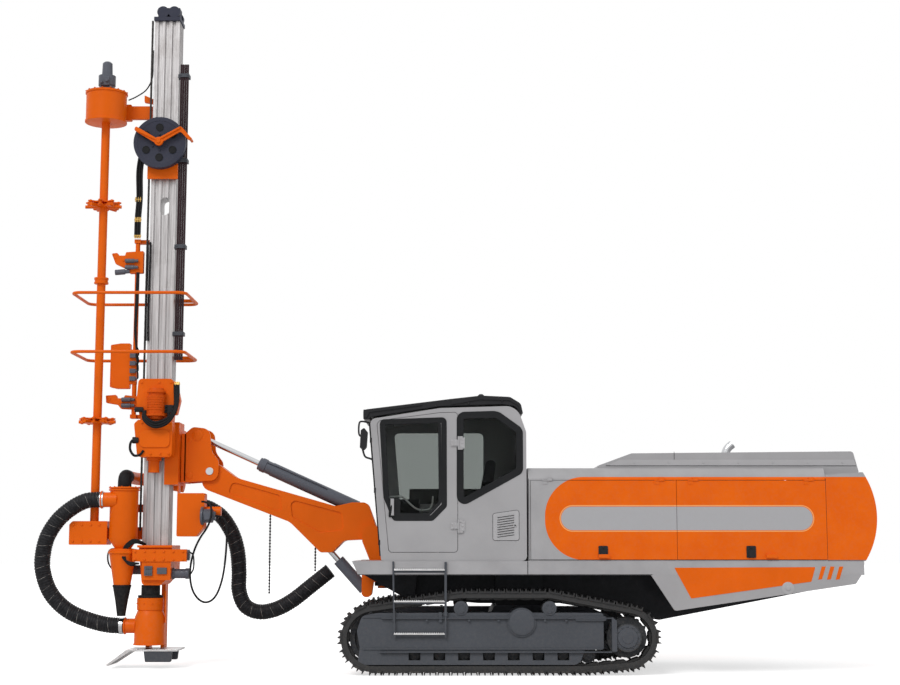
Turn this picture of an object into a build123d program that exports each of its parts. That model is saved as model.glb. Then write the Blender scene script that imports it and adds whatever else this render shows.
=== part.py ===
"""Crawler drilling rig: tracks, platform, cab, engine housing, boom and drill feed.

Millimetres. X runs from the drill feed to the engine end, Y to the machine's right
and Z up. The origin is on the ground, below the middle of the rig's outer box.
"""

import math
import os

from build123d import *

os.makedirs("parts", exist_ok=True)

# Overall sizes
half_length = 5177.0
half_width = 1250.0
seat_gap = 0.3
foot_pin_radius = 55.0
cylinder_pin_radius = 30.0
move_gap = 6.0

# Crawler tracks and their frames
track_outer_y = 1210.0
shoe_width = 400.0
link_width = 200.0
link_height = 85.0
shoe_plate = 25.0
grouser_height = 30.0
shoe_count = 48
idler_x = -830.0
idler_radius = 290.0
sprocket_x = 2177.0
sprocket_z = 440.0
sprocket_radius = 260.0
carrier_roller_x = (204.0, 1254.0)
carrier_roller_z = 785.0
carrier_roller_radius = 90.0
road_roller_count = 8
road_roller_first_x = -346.0
road_roller_pitch = 293.5
road_roller_radius = 95.0
pivot_x = 924.0
pivot_z = 620.0
pivot_radius = 170.0

# Platform and chassis
platform_top = 1340.0
platform_bottom = 1176.0
platform_front_x = -1092.0
platform_half_width = 1220.0
skirt_thickness = 30.0

# Cab
cab_left_y = -1200.0
cab_right_y = 50.0
cab_front_low_x = -746.0
cab_front_high_x = -890.0
cab_rear_x = 991.0
cab_wall = 60.0
cab_floor = platform_top + seat_gap
glass_thickness = 12.0
door_rear_x = 164.0
cab_hinge_x = 178.0
cab_hinge_y = -1214.0
cab_hinge_z = (1755.0, 2746.0)
door_bottom = 1447.0

# Engine housing
hood_front_x = 1009.0
hood_crease_z = 2326.0
hood_roof_z = 2450.0
hood_wall = 30.0
hood_rear_x = 4573.0
hood_rear_corner_x = 5024.0
hood_door_split_x = 2783.0
hood_base = platform_top + seat_gap
cowl_half_width = 1040.0
cowl_top = 2656.0

# Boom, its pivots in the X-Z plane, and the two cylinders
boom_y = 450.0
boom_half_width = 170.0
swing_post_x = -800.0
swing_pin_radius = 60.0
pin_gap = 0.05
lug_radius = 100.0
swing_lug_z = ((1010.0, 1060.0), (1176.0, 1226.0))
boom_foot = (-964.0, 1700.0)
boom_tip = (-3031.0, 2477.0)
dump_barrel_pin = (-1083.0, 1988.0)
dump_rod_pin = (-3197.0, 2940.0)
lift_barrel_pin = (-1000.0, 930.0)
lift_rod_pin = (-1521.0, 1507.0)

# Drill feed
beam_x = -3696.0
beam_width = 330.0
beam_y = 300.0
beam_depth = 300.0
beam_bottom = 1530.0
beam_top = 8470.0
drill_x = -3716.0
drill_y = 50.0
crown_top = 8675.0
cradle_z = 2700.0
cradle_half_height = 400.0
head_bottom = 2610.0
head_top = 3640.0
reel_z = 6760.0
reel_radius = 340.0
carousel_x = -4456.0
hoop_radius = 20.0
hoop_front_x = -4726.0
hoop_rear_x = -3286.0
hoop_left_y = -400.0
hoop_right_y = 620.0



def slab(outline, y_low, y_high, inset=0.0, mode=Mode.ADD):
    """Extrude an outline along Y. Its rows hold x, z and the corner's radius."""
    with BuildSketch(Plane.XZ.offset(-y_low)) as face:
        with BuildLine():
            FilletPolyline(
                *[(x, z) for x, z, radius in outline],
                radius=[radius for x, z, radius in outline],
                close=True,
            )
        make_face()
        if inset:
            offset(amount=-inset, kind=Kind.INTERSECTION, mode=Mode.REPLACE)
    extrude(to_extrude=face.sketch, amount=y_low - y_high, mode=mode)


def plan(outline, z_low, z_high, mode=Mode.ADD):
    """Extrude an outline along Z. Its rows hold x, y and the corner's radius."""
    with BuildSketch(Plane.XY.offset(z_low)) as face:
        with BuildLine():
            FilletPolyline(
                *[(x, y) for x, y, radius in outline],
                radius=[radius for x, y, radius in outline],
                close=True,
            )
        make_face()
    extrude(to_extrude=face.sketch, amount=z_high - z_low, mode=mode)


def section(outline, x_low, x_high, mode=Mode.ADD):
    """Extrude an outline along X. Its rows hold y, z and the corner's radius."""
    with BuildSketch(Plane.YZ.offset(x_low)) as face:
        with BuildLine():
            FilletPolyline(
                *[(y, z) for y, z, radius in outline],
                radius=[radius for y, z, radius in outline],
                close=True,
            )
        make_face()
    extrude(to_extrude=face.sketch, amount=x_high - x_low, mode=mode)


def block(x_span, y_span, z_span, mode=Mode.ADD):
    """Add a box between the low and high ends of three spans."""
    centre = [(low + high) / 2 for low, high in (x_span, y_span, z_span)]
    with Locations(Vector(*centre)):
        Box(x_span[1] - x_span[0], y_span[1] - y_span[0], z_span[1] - z_span[0], mode=mode)


def rod(start, end, radius, mode=Mode.ADD):
    """Add a round bar from one point to another."""
    axis = Vector(*end) - Vector(*start)
    with BuildSketch(Plane(origin=start, z_dir=axis)) as face:
        Circle(radius)
    extrude(to_extrude=face.sketch, amount=axis.length, mode=mode)


def pin(place, radius, y_low, y_high, mode=Mode.ADD):
    """Add a round bar along Y at an x, z place."""
    rod((place[0], y_low, place[1]), (place[0], y_high, place[1]), radius, mode=mode)


def post(x, y, radius, z_low, z_high, mode=Mode.ADD):
    """Add an upright round bar."""
    rod((x, y, z_low), (x, y, z_high), radius, mode=mode)


def finish(part, name):
    """Label a finished piece and write its file."""
    part.label = name
    export_step(part, f"parts/{name}.step")


def both_sides(y_low, y_high):
    """Give a span on the right side and its mirror image on the left."""
    return ((y_low, y_high), (-y_high, -y_low))


# Track loop: straight runs and arcs round the wheels that turn it, anticlockwise
ground_line = link_height + shoe_plate + grouser_height
idler_z = idler_radius + ground_line
road_roller_z = road_roller_radius + ground_line
road_roller_x = [road_roller_first_x + road_roller_pitch * i for i in range(road_roller_count)]
track_wheels = (
    # x, z, radius
    (idler_x, idler_z, idler_radius),
    (road_roller_x[-1], road_roller_z, road_roller_radius),
    (sprocket_x, sprocket_z, sprocket_radius),
    (carrier_roller_x[1], carrier_roller_z, carrier_roller_radius),
    (carrier_roller_x[0], carrier_roller_z, carrier_roller_radius),
)


def run_normals():
    """Angle of the outward normal of each straight run, one after each wheel."""
    angles = []
    for i, (x, z, radius) in enumerate(track_wheels):
        next_x, next_z, next_radius = track_wheels[(i + 1) % len(track_wheels)]
        distance = math.hypot(next_x - x, next_z - z)
        heading = math.atan2(next_z - z, next_x - x)
        angles.append(heading - math.pi / 2 + math.asin((radius - next_radius) / distance))
    return angles


def track_spans():
    """List the loop's arcs and runs: kind, length, and the numbers that place it."""
    normals = run_normals()
    spans = []
    for i, (x, z, radius) in enumerate(track_wheels):
        start = normals[i - 1]
        turn = (normals[i] - start) % (2 * math.pi)
        spans.append(("arc", radius * turn, x, z, radius, start))
        next_x, next_z, next_radius = track_wheels[(i + 1) % len(track_wheels)]
        out = Vector(math.cos(normals[i]), math.sin(normals[i]))
        first = Vector(x, z) + out * radius
        last = Vector(next_x, next_z) + out * next_radius
        spans.append(("run", (last - first).length, first, last, out))
    return spans


def track_point(spans, distance):
    """Point on the loop's inner line at a distance along it, and its outward normal."""
    for span in spans:
        if distance <= span[1]:
            break
        distance -= span[1]
    if span[0] == "run":
        kind, length, first, last, out = span
        return first + (last - first) * (distance / length), out
    kind, length, x, z, radius, start = span
    angle = start + distance / radius
    out = Vector(math.cos(angle), math.sin(angle))
    return Vector(x, z) + out * radius, out


def loop_face(spread):
    """Face inside the track loop's inner line, moved outward by spread."""
    normals = run_normals()
    with BuildSketch(Plane.XZ) as face:
        with BuildLine():
            ends = []
            for i, (x, z, radius) in enumerate(track_wheels):
                start = math.degrees(normals[i - 1])
                turn = (math.degrees(normals[i]) - start) % 360
                arc = CenterArc((x, z), radius + spread, start, turn)
                ends.append(arc)
            for arc, following in zip(ends, ends[1:] + ends[:1]):
                Line(arc @ 1, following @ 0)
        make_face()
    return face.sketch


def shoe_outline(spans):
    """Outer outline of the shoes: flat plates, each with one grouser bar."""
    total = sum(span[1] for span in spans)
    pitch = total / shoe_count
    plate_half = pitch / 2 - 9
    bar_root_half = 22
    bar_tip_half = 9
    top = link_height + shoe_plate
    points = []
    for shoe in range(shoe_count):
        centre, out = track_point(spans, pitch * (shoe + 0.5))
        along = Vector(-out.Y, out.X)
        profile = (
            # distance along the shoe, height above the inner line
            (-plate_half, link_height),
            (-plate_half, top),
            (-bar_root_half, top),
            (-bar_tip_half, top + grouser_height),
            (bar_tip_half, top + grouser_height),
            (bar_root_half, top),
            (plate_half, top),
            (plate_half, link_height),
        )
        for offset_along, height in profile:
            place = centre + along * offset_along + out * height
            points.append((place.X, place.Y))
    return points


track_inner_y = track_outer_y - shoe_width
link_inner_y = track_outer_y - (shoe_width + link_width) / 2
link_outer_y = link_inner_y + link_width
loop_spans = track_spans()
shoe_points = shoe_outline(loop_spans)
link_lap = 12.0

for side, name in ((-1, "track_left"), (1, "track_right")):
    with BuildPart() as track:
        near = track_inner_y if side > 0 else -track_outer_y
        with BuildSketch(Plane.XZ.offset(-near)) as shoes:
            Polygon(*shoe_points)
        extrude(amount=-shoe_width)
        extrude(
            to_extrude=Pos(0, near - 1, 0) * loop_face(link_height - link_lap),
            amount=-(shoe_width + 2),
            mode=Mode.SUBTRACT,
        )
        near = link_inner_y if side > 0 else -link_outer_y
        extrude(to_extrude=Pos(0, near, 0) * loop_face(link_height), amount=-link_width)
        extrude(
            to_extrude=Pos(0, near - 1, 0) * loop_face(0.0),
            amount=-(link_width + 2),
            mode=Mode.SUBTRACT,
        )
    finish(track.part, name)

# Wheels that the tracks run on. Each fills the inside of the links.
wheel_half = link_width / 2 - 20
wheel_y = (link_inner_y + link_outer_y) / 2
drive_plate = 55.0
frame_outer_y = 1190.0
frame_inner_y = 850.0
cheek_gap = 6.0

with BuildPart() as sprockets:
    for y_low, y_high in both_sides(wheel_y - wheel_half, wheel_y + wheel_half):
        pin((sprocket_x, sprocket_z), sprocket_radius - 22, y_low, y_high)
        for tooth in range(13):
            angle = 2 * math.pi * tooth / 13
            out = Vector(math.cos(angle), math.sin(angle))
            tip = (sprocket_x + out.X * (sprocket_radius - 24), sprocket_z + out.Y * (sprocket_radius - 24))
            pin(tip, 22, y_low + 45, y_high - 45)
    for y_low, y_high in both_sides(frame_inner_y + drive_plate + seat_gap, frame_outer_y + 15):
        pin((sprocket_x, sprocket_z), 165, y_low, y_high)
finish(sprockets.part, "drive_sprockets")

with BuildPart() as idlers:
    for y_low, y_high in both_sides(wheel_y - wheel_half, wheel_y + wheel_half):
        pin((idler_x, idler_z), idler_radius - seat_gap, y_low, y_high)
        pin((idler_x, idler_z), idler_radius - 60, y_low, y_low + 45, mode=Mode.SUBTRACT)
        pin((idler_x, idler_z), idler_radius - 60, y_high - 45, y_high, mode=Mode.SUBTRACT)
    for y_low, y_high in both_sides(link_inner_y - cheek_gap + seat_gap, link_outer_y + cheek_gap - seat_gap):
        pin((idler_x, idler_z), 110, y_low, y_high)
finish(idlers.part, "idler_wheels")

with BuildPart() as rollers:
    for x in road_roller_x:
        for y_low, y_high in both_sides(wheel_y - wheel_half, wheel_y + wheel_half):
            pin((x, road_roller_z), road_roller_radius - seat_gap, y_low, y_high)
        for y_low, y_high in both_sides(link_inner_y - cheek_gap + seat_gap, link_outer_y + cheek_gap - seat_gap):
            pin((x, road_roller_z), 60, y_low, y_high)
finish(rollers.part, "track_rollers")

with BuildPart() as carriers:
    for x in carrier_roller_x:
        for y_low, y_high in both_sides(wheel_y - wheel_half, wheel_y + wheel_half):
            pin((x, carrier_roller_z), carrier_roller_radius - seat_gap, y_low, y_high)
finish(carriers.part, "carrier_rollers")

# Track frames: a box beam over the rollers, with cheeks that hold them
frame_front_x = -1030.0
frame_rear_x = 1894.0
frame_low = 300.0
frame_high = 730.0
skirt_low = 125.0
skirt_rear_x = 1604.0
opening_width = 140.0
opening_height = 90.0
opening_z = 222.0
roller_room = road_roller_radius + 10.0

for side, name in ((-1, "track_frame_left"), (1, "track_frame_right")):
    def span(inner, outer):
        """Turn distances from the middle into a span on this side."""
        return (inner, outer) if side > 0 else (-outer, -inner)

    with BuildPart() as frame:
        beam = (
            (frame_front_x + 40, frame_low, 60),
            (frame_front_x, 520, 60),
            (frame_front_x + 60, frame_high - 30, 80),
            (frame_front_x + 250, frame_high, 60),
            (frame_rear_x, frame_high, 30),
            (frame_rear_x, frame_low, 30),
        )
        slab(beam, *span(frame_inner_y, frame_outer_y))
        skirt = (
            (frame_front_x + 40, frame_low + 60, 0),
            (frame_front_x + 10, skirt_low, 40),
            (skirt_rear_x, skirt_low, 110),
            (skirt_rear_x + 90, frame_low + 60, 0),
        )
        slab(skirt, *span(frame_inner_y, frame_outer_y))
        # Room for the rollers, the links and the idler between the cheeks
        hollow = span(link_inner_y - cheek_gap, link_outer_y + cheek_gap)
        block((frame_front_x - 50, skirt_rear_x + 220), hollow, (0, frame_low + 40), mode=Mode.SUBTRACT)
        for x in carrier_roller_x:
            pin((x, carrier_roller_z), carrier_roller_radius + 8, *hollow, mode=Mode.SUBTRACT)
        block((frame_front_x - 50, idler_x + idler_radius + 20), hollow, (0, 1200), mode=Mode.SUBTRACT)
        # Openings in the skirt that show each roller
        for x in road_roller_x[:-1]:
            mid = (x - opening_width / 2, x + opening_width / 2)
            tall = (opening_z - opening_height / 2, opening_z + opening_height / 2)
            block(mid, span(frame_inner_y - 5, frame_outer_y + 5), tall, mode=Mode.SUBTRACT)
        # Ribs along the outer face, and the pivot's disc
        for z in (684.0, 311.0):
            block((frame_front_x + 70, frame_rear_x - 20), span(frame_outer_y - 1, frame_outer_y + 12),
                  (z - 9, z + 9))
        pin((pivot_x, pivot_z), pivot_radius, *span(frame_outer_y - 1, frame_outer_y + 18))
        # Posts of the carrier rollers
        for x in carrier_roller_x:
            block((x - 45, x + 45), span(frame_inner_y, link_inner_y - cheek_gap),
                  (frame_high - 5, carrier_roller_z + 45))
            pin((x, carrier_roller_z), 30, *span(link_inner_y - 20, wheel_y - wheel_half - seat_gap))
        # Bracket of the drive motor
        plate = (
            (frame_rear_x - 10, frame_low, 0),
            (frame_rear_x - 10, frame_high, 0),
            (sprocket_x - 40, sprocket_z + 190, 60),
            (sprocket_x + 170, sprocket_z, 120),
            (sprocket_x - 40, sprocket_z - 190, 60),
        )
        slab(plate, *span(frame_inner_y, frame_inner_y + drive_plate))
    finish(frame.part, name)

# Undercarriage cross member, and the axle that both track frames rock on
with BuildPart() as undercarriage:
    pin((pivot_x, pivot_z), 115, -(frame_inner_y - seat_gap), frame_inner_y - seat_gap)
    hub = (
        (pivot_x - 420, 560, 60),
        (pivot_x - 300, 800, 60),
        (pivot_x + 300, 800, 60),
        (pivot_x + 420, 560, 60),
        (pivot_x + 250, 430, 60),
        (pivot_x - 250, 430, 60),
    )
    slab(hub, -560, 560)
    for y_low, y_high in both_sides(frame_inner_y - 140, frame_inner_y - seat_gap):
        pin((pivot_x, pivot_z), 170, y_low, y_high)
finish(undercarriage.part, "undercarriage_axle")

# Platform deck and chassis rails
recess_low_y = 160.0
recess_high_y = 730.0
recess_x = -560.0
rail_inner_y = 330.0
rail_outer_y = 470.0

with BuildPart() as platform:
    deck = (
        (platform_front_x + 73, platform_bottom, 0),
        (platform_front_x, platform_top, 0),
        (hood_rear_corner_x - 24, platform_top, 0),
        (hood_rear_corner_x - 24, platform_bottom, 0),
    )
    slab(deck, -platform_half_width, platform_half_width)
    block((platform_front_x - 10, recess_x), (recess_low_y, recess_high_y),
          (platform_bottom - 10, platform_top + 10), mode=Mode.SUBTRACT)
    rail = (
        (recess_x + 10, platform_bottom + 5, 0),
        (recess_x + 10, 900, 60),
        (pivot_x - 500, 820, 60),
        (pivot_x + 500, 820, 60),
        (2648, 616, 60),
        (4636, 995, 60),
        (4800, platform_bottom + 60, 0),
    )
    for y_low, y_high in both_sides(rail_inner_y, rail_outer_y):
        slab(rail, y_low, y_high)
    for x_low, x_high in ((1800, 1900), (3000, 3100), (4300, 4400)):
        block((x_low, x_high), (-rail_inner_y - 5, rail_inner_y + 5), (960, platform_bottom + 5))
    # Saddle over the undercarriage's hub
    block((pivot_x - 290, pivot_x + 290), (-560, 560), (800 + seat_gap, platform_bottom + 5))
    # Lugs of the boom's swing post
    for z_low, z_high in swing_lug_z:
        lug = (
            (recess_x + 20, boom_y - 150, 0),
            (swing_post_x, boom_y - lug_radius, lug_radius - 2),
            (swing_post_x - lug_radius, boom_y - lug_radius, lug_radius - 2),
            (swing_post_x - lug_radius, boom_y + lug_radius, lug_radius - 2),
            (swing_post_x, boom_y + lug_radius, lug_radius - 2),
            (recess_x + 20, boom_y + 150, 0),
        )
        plan(lug, z_low, z_high)
        post(swing_post_x, boom_y, swing_pin_radius + pin_gap, z_low - 5, z_high + 5, mode=Mode.SUBTRACT)
    block((recess_x, recess_x + 120), (boom_y - 150, boom_y + 150), (900, platform_bottom + 60))
    # Belly plate that slopes down under the platform's front
    belly = (
        (platform_front_x + 90, platform_bottom + 2, 0),
        (recess_x + 60, 900, 20),
        (recess_x + 200, 900, 20),
        (recess_x + 230, platform_bottom + 2, 0),
    )
    slab(belly, -620, 130)
finish(platform.part, "platform_frame")

with BuildPart() as skirts:
    skirt = (
        (2463, platform_bottom - seat_gap, 0),
        (2739, 755, 40),
        (4894, 1071, 40),
        (4965, platform_bottom - seat_gap, 0),
    )
    for y_low, y_high in both_sides(platform_half_width - skirt_thickness, platform_half_width):
        slab(skirt, y_low, y_high)
finish(skirts.part, "rear_skirts")

# Engine housing: a hollow body with two hinged doors on each side
hood_half_width = 1205.0
roof_edge_y = 1110.0
door_frame = 40.0
door_thickness = 36.0
door_gap = 5.0
door_top = hood_crease_z - 30
door_low = hood_base + 18
hood_section = (
    (-hood_half_width, hood_base, 0),
    (-hood_half_width, hood_crease_z, 40),
    (-roof_edge_y, hood_roof_z, 60),
    (roof_edge_y, hood_roof_z, 60),
    (hood_half_width, hood_crease_z, 40),
    (hood_half_width, hood_base, 0),
)
hood_inside = (
    (-hood_half_width + hood_wall, hood_base + hood_wall, 0),
    (-hood_half_width + hood_wall, hood_crease_z - 12, 30),
    (-roof_edge_y + 12, hood_roof_z - hood_wall, 40),
    (roof_edge_y - 12, hood_roof_z - hood_wall, 40),
    (hood_half_width - hood_wall, hood_crease_z - 12, 30),
    (hood_half_width - hood_wall, hood_base + hood_wall, 0),
)
hood_door_spans = {
    "hood_door_front": (hood_front_x + 30, hood_door_split_x - door_gap / 2),
    "hood_door_rear": (hood_door_split_x + door_gap / 2, hood_rear_x - door_gap),
}

hinge_z = door_top + 2
hinge_y = hood_half_width + 18.5
knuckle_radius = 8.0
knuckle_length = 60.0
hinge_pin_radius = 4.0


def hinge_places(x_low, x_high):
    """X places of a top-hung door's two hinges."""
    return (x_low + 200, x_high - 200)


with BuildPart() as hood:
    section(hood_section, hood_front_x, hood_rear_x)
    section(hood_inside, hood_front_x + hood_wall, hood_rear_x + 1, mode=Mode.SUBTRACT)
    for x_low, x_high in hood_door_spans.values():
        opening = (x_low - door_gap, x_high + door_gap)
        for y_low, y_high in both_sides(hood_half_width - door_thickness - door_gap, hood_half_width + 5):
            block(opening, (y_low, y_high), (door_low - door_gap, door_top + door_gap), mode=Mode.SUBTRACT)
    # Posts and partitions inside, which the doors close against
    for x in (hood_front_x + 60, hood_door_split_x, hood_rear_x - 60):
        for y_low, y_high in both_sides(hood_half_width - 100, hood_half_width - door_thickness - door_gap - 1):
            block((x - 30, x + 30), (y_low, y_high), (hood_base + 5, hood_crease_z - 20))
    # Hinge leaves, with the half of each knuckle that holds the pin
    for x_low, x_high in hood_door_spans.values():
        for x in hinge_places(x_low, x_high):
            for side in (-1, 1):
                leaf = sorted((side * (hood_half_width - 1), side * (hinge_y - 2)))
                block((x, x + knuckle_length), leaf, (hinge_z + 4, hinge_z + 38))
                rod((x, side * hinge_y, hinge_z), (x + knuckle_length, side * hinge_y, hinge_z), knuckle_radius)
                rod((x - knuckle_length, side * hinge_y, hinge_z), (x, side * hinge_y, hinge_z), hinge_pin_radius)
    # Room in the roof for the exhaust pipe
    post(3644, 300, 62, hood_roof_z - 100, hood_roof_z + 50, mode=Mode.SUBTRACT)
finish(hood.part, "hood_frame")

latch_x = {"hood_door_front": (1640.0, 1907.0), "hood_door_rear": (3662.0, 3900.0)}
for door_name, (x_low, x_high) in hood_door_spans.items():
    for side, side_name in ((-1, "left"), (1, "right")):
        def out(inner, outer):
            """Span between two distances inward from the door's outer face."""
            ends = (side * (hood_half_width + 10 - inner), side * (hood_half_width + 10 - outer))
            return (min(ends), max(ends))

        with BuildPart() as door:
            block((x_low, x_high), out(0, door_thickness), (door_low, door_top))
            block((x_low + door_frame, x_high - door_frame), out(door_thickness - 16, door_thickness + 1),
                  (door_low + door_frame, door_top - door_frame), mode=Mode.SUBTRACT)
            # Latches, proud of the door
            x = latch_x[door_name][1]
            block((x - 65, x + 65), out(1, -(half_width - hood_half_width - 10)), (door_low + 20, door_low + 62))
            for x in hinge_places(x_low, x_high):
                block((x - knuckle_length, x - seat_gap), out(1, -7), (hinge_z - 44, hinge_z - 4))
                rod((x - knuckle_length, side * hinge_y, hinge_z), (x - seat_gap, side * hinge_y, hinge_z),
                    knuckle_radius)
                rod((x - knuckle_length - 1, side * hinge_y, hinge_z), (x, side * hinge_y, hinge_z),
                    hinge_pin_radius + pin_gap, mode=Mode.SUBTRACT)
        finish(door.part, f"{door_name}_{side_name}")

# Rear end of the housing: it bulges, with a slatted grille
bulge_top_x = 5022.0
grille_rows = 13
grille_low = 1500.0
grille_pitch = 62.0
grille_slot = 34.0
grille_half_width = 900.0
with BuildPart() as rear_panel:
    with BuildSketch(Plane.XZ.offset(hood_half_width)) as profile:
        with BuildLine():
            Polyline(
                (hood_rear_corner_x, hood_base),
                (hood_rear_x + seat_gap, hood_base),
                (hood_rear_x + seat_gap, hood_crease_z + 40),
                (bulge_top_x, hood_crease_z + 71),
            )
            ThreePointArc(
                (bulge_top_x, hood_crease_z + 71),
                (half_length, (hood_base + hood_crease_z + 71) / 2),
                (hood_rear_corner_x, hood_base),
            )
        make_face()
    extrude(amount=-2 * hood_half_width)
    fillet(rear_panel.edges().filter_by(Axis.X).group_by(Axis.Z)[-1], radius=20)
    rear_face = rear_panel.faces().filter_by(Axis.X).sort_by(Axis.X)[0]
    offset(amount=-hood_wall, openings=rear_face)
    for row in range(grille_rows):
        z = grille_low + row * grille_pitch
        block((hood_rear_corner_x - 60, half_length + 10), (-grille_half_width, -20),
              (z, z + grille_slot), mode=Mode.SUBTRACT)
        block((hood_rear_corner_x - 60, half_length + 10), (20, grille_half_width),
              (z, z + grille_slot), mode=Mode.SUBTRACT)
finish(rear_panel.part, "rear_panel")

# Raised cowl over the engine, and the exhaust
cowl_wall = 30.0
cowl_foot = hood_roof_z + seat_gap
cowl_rows = (
    (1860, cowl_foot, 0),
    (1860, cowl_foot + 31, 20),
    (2272, cowl_top - 24, 60),
    (4954, cowl_top, 40),
    (5020, hood_crease_z + 76, 10),
    (hood_rear_x + 6, hood_crease_z + 45, 0),
    (hood_rear_x + 6, cowl_foot, 0),
)
engine_top = 2250.0
exhaust_x = 3644.0
exhaust_y = 300.0
with BuildPart() as cowl:
    slab(cowl_rows, -cowl_half_width, cowl_half_width)
    slab(cowl_rows, -cowl_half_width + cowl_wall, cowl_half_width - cowl_wall, inset=cowl_wall,
         mode=Mode.SUBTRACT)
    block((2330, 4560), (-cowl_half_width + cowl_wall + 5, cowl_half_width - cowl_wall - 5),
          (cowl_foot - 5, cowl_foot + cowl_wall + 5), mode=Mode.SUBTRACT)
    # Slots along both sides
    for x in range(2450, 4700, 150):
        block((x, x + 90), (-cowl_half_width - 5, cowl_half_width + 5), (2520, 2548), mode=Mode.SUBTRACT)
    post(exhaust_x, exhaust_y, 62, cowl_top - 150, cowl_top + 50, mode=Mode.SUBTRACT)
finish(cowl.part, "roof_cowl")

with BuildPart() as exhaust:
    post(exhaust_x, exhaust_y, 55, engine_top + seat_gap, 2810)
    post(exhaust_x, exhaust_y, 49, 2300, 2820, mode=Mode.SUBTRACT)
finish(exhaust.part, "exhaust_pipe")

with BuildPart() as engine:
    block((2950, 4250), (-420, 420), (hood_base + hood_wall + seat_gap, engine_top))
finish(engine.part, "engine_block")

with BuildPart() as compressor:
    block((1350, 2500), (-480, 480), (hood_base + hood_wall + seat_gap, 2100))
finish(compressor.part, "compressor_block")

# Cab: a hollow body with its windows cut, a door and panes
cab_profile = (
    (cab_front_low_x, cab_floor, 30),
    (cab_front_high_x, 3035, 70),
    (-46, 3168, 0),
    (880, 3195, 190),
    (cab_rear_x, 2880, 120),
    (cab_rear_x, cab_floor, 60),
)
front_lean = (cab_front_high_x - cab_front_low_x) / (3035 - cab_floor)
door_outline = (
    (cab_front_low_x + 93, door_bottom, 40),
    (cab_front_high_x + 84, 3010, 60),
    (-46, 3110, 0),
    (door_rear_x, 3115, 40),
    (door_rear_x, door_bottom, 40),
)
rear_window = (
    (190, 3085, 60),
    (640, 3098, 150),
    (915, 2900, 80),
    (915, 2410, 60),
    (190, 2010, 60),
)
door_window = (
    (-745, 3000, 40),
    (-65, 3025, 60),
    (-55, 2040, 60),
    (-190, 1900, 60),
    (-590, 1900, 60),
    (-690, 2090, 60),
)
pane_gap = seat_gap
window_lip = 14.0
windshield_y = (cab_left_y + 90, cab_right_y - 90)
windshield_z = (1620.0, 2960.0)
right_window = (
    (-640, 2950, 60),
    (500, 2950, 60),
    (500, 2050, 60),
    (-560, 2050, 60),
)
roof_window = ((-640.0, -160.0), (cab_left_y + 250, cab_right_y - 250))


def cab_front(z):
    """X of the cab's leaning front at a height."""
    return cab_front_low_x + front_lean * (z - cab_floor)


with BuildPart() as cab:
    slab(cab_profile, cab_left_y, cab_right_y)
    slab(cab_profile, cab_left_y + cab_wall, cab_right_y - cab_wall, inset=cab_wall, mode=Mode.SUBTRACT)
    slab(door_outline, cab_left_y - 5, cab_left_y + cab_wall + 1, inset=-move_gap, mode=Mode.SUBTRACT)
    slab(rear_window, cab_left_y - 5, cab_left_y + cab_wall + 1, mode=Mode.SUBTRACT)
    slab(right_window, cab_right_y - cab_wall - 1, cab_right_y + 5, mode=Mode.SUBTRACT)
    block((cab_front_high_x - 200, cab_front_low_x + 150), windshield_y, windshield_z, mode=Mode.SUBTRACT)
    block(roof_window[0], roof_window[1], (2980, 3300), mode=Mode.SUBTRACT)
    # Hinge eyes and pins of the door
    for z in cab_hinge_z:
        for low, high in ((z - 80, z - 45 - seat_gap), (z + 45 + seat_gap, z + 80)):
            post(cab_hinge_x, cab_hinge_y, 12, low, high)
            block((cab_hinge_x, cab_hinge_x + 50), (cab_hinge_y - 6, cab_left_y + 1), (low, high))
        post(cab_hinge_x, cab_hinge_y, 6, z - 60, z + 60)
finish(cab.part, "cab_shell")

with BuildPart() as cab_windows:
    slab(rear_window, cab_left_y + 8, cab_left_y + 8 + glass_thickness, inset=pane_gap)
    slab(right_window, cab_right_y - 8 - glass_thickness, cab_right_y - 8, inset=pane_gap)
    low, high = windshield_z[0] + pane_gap, windshield_z[1] - pane_gap
    front_pane = (
        (cab_front(low) + 10, low, 0),
        (cab_front(high) + 10, high, 0),
        (cab_front(high) + 10 + glass_thickness, high, 0),
        (cab_front(low) + 10 + glass_thickness, low, 0),
    )
    slab(front_pane, windshield_y[0] + pane_gap, windshield_y[1] - pane_gap)
finish(cab_windows.part, "cab_windows")

with BuildPart() as cab_door:
    slab(door_outline, cab_left_y - 2, cab_left_y + 38)
    slab(door_window, cab_left_y - 5, cab_left_y + 45, mode=Mode.SUBTRACT)
    # Hinge knuckles at the rear edge and the handle near the front
    for z in cab_hinge_z:
        post(cab_hinge_x, cab_hinge_y, 12, z - 45, z + 45)
        block((door_rear_x - 60, cab_hinge_x), (cab_hinge_y - 6, cab_left_y - 1), (z - 30, z + 30))
        post(cab_hinge_x, cab_hinge_y, 6 + pin_gap, z - 50, z + 50, mode=Mode.SUBTRACT)
    block((cab_front_low_x + 110, cab_front_low_x + 150), (cab_left_y - 34, cab_left_y - 1), (1880, 2080))
finish(cab_door.part, "cab_door")

with BuildPart() as door_glass:
    slab(door_window, cab_left_y + 8, cab_left_y + 8 + glass_thickness, inset=pane_gap)
finish(door_glass.part, "cab_door_window")

# Guard over the cab's roof
guard_profile = (
    (-966, 3020, 10),
    (-966, 3150, 60),
    (681, 3348, 40),
    (959, 3214, 40),
    (971, 3100, 10),
)
with BuildPart() as guard:
    slab(guard_profile, cab_left_y + 20, cab_right_y - 20)
    slab(guard_profile, cab_left_y + 60, cab_right_y - 60, inset=40, mode=Mode.SUBTRACT)
    slab(cab_profile, cab_left_y - 5, cab_right_y + 5, inset=-seat_gap, mode=Mode.SUBTRACT)
    block((-900, 940), (cab_left_y + 60, cab_right_y - 60), (2990, 3215), mode=Mode.SUBTRACT)
finish(guard.part, "cab_roof_guard")

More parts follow.
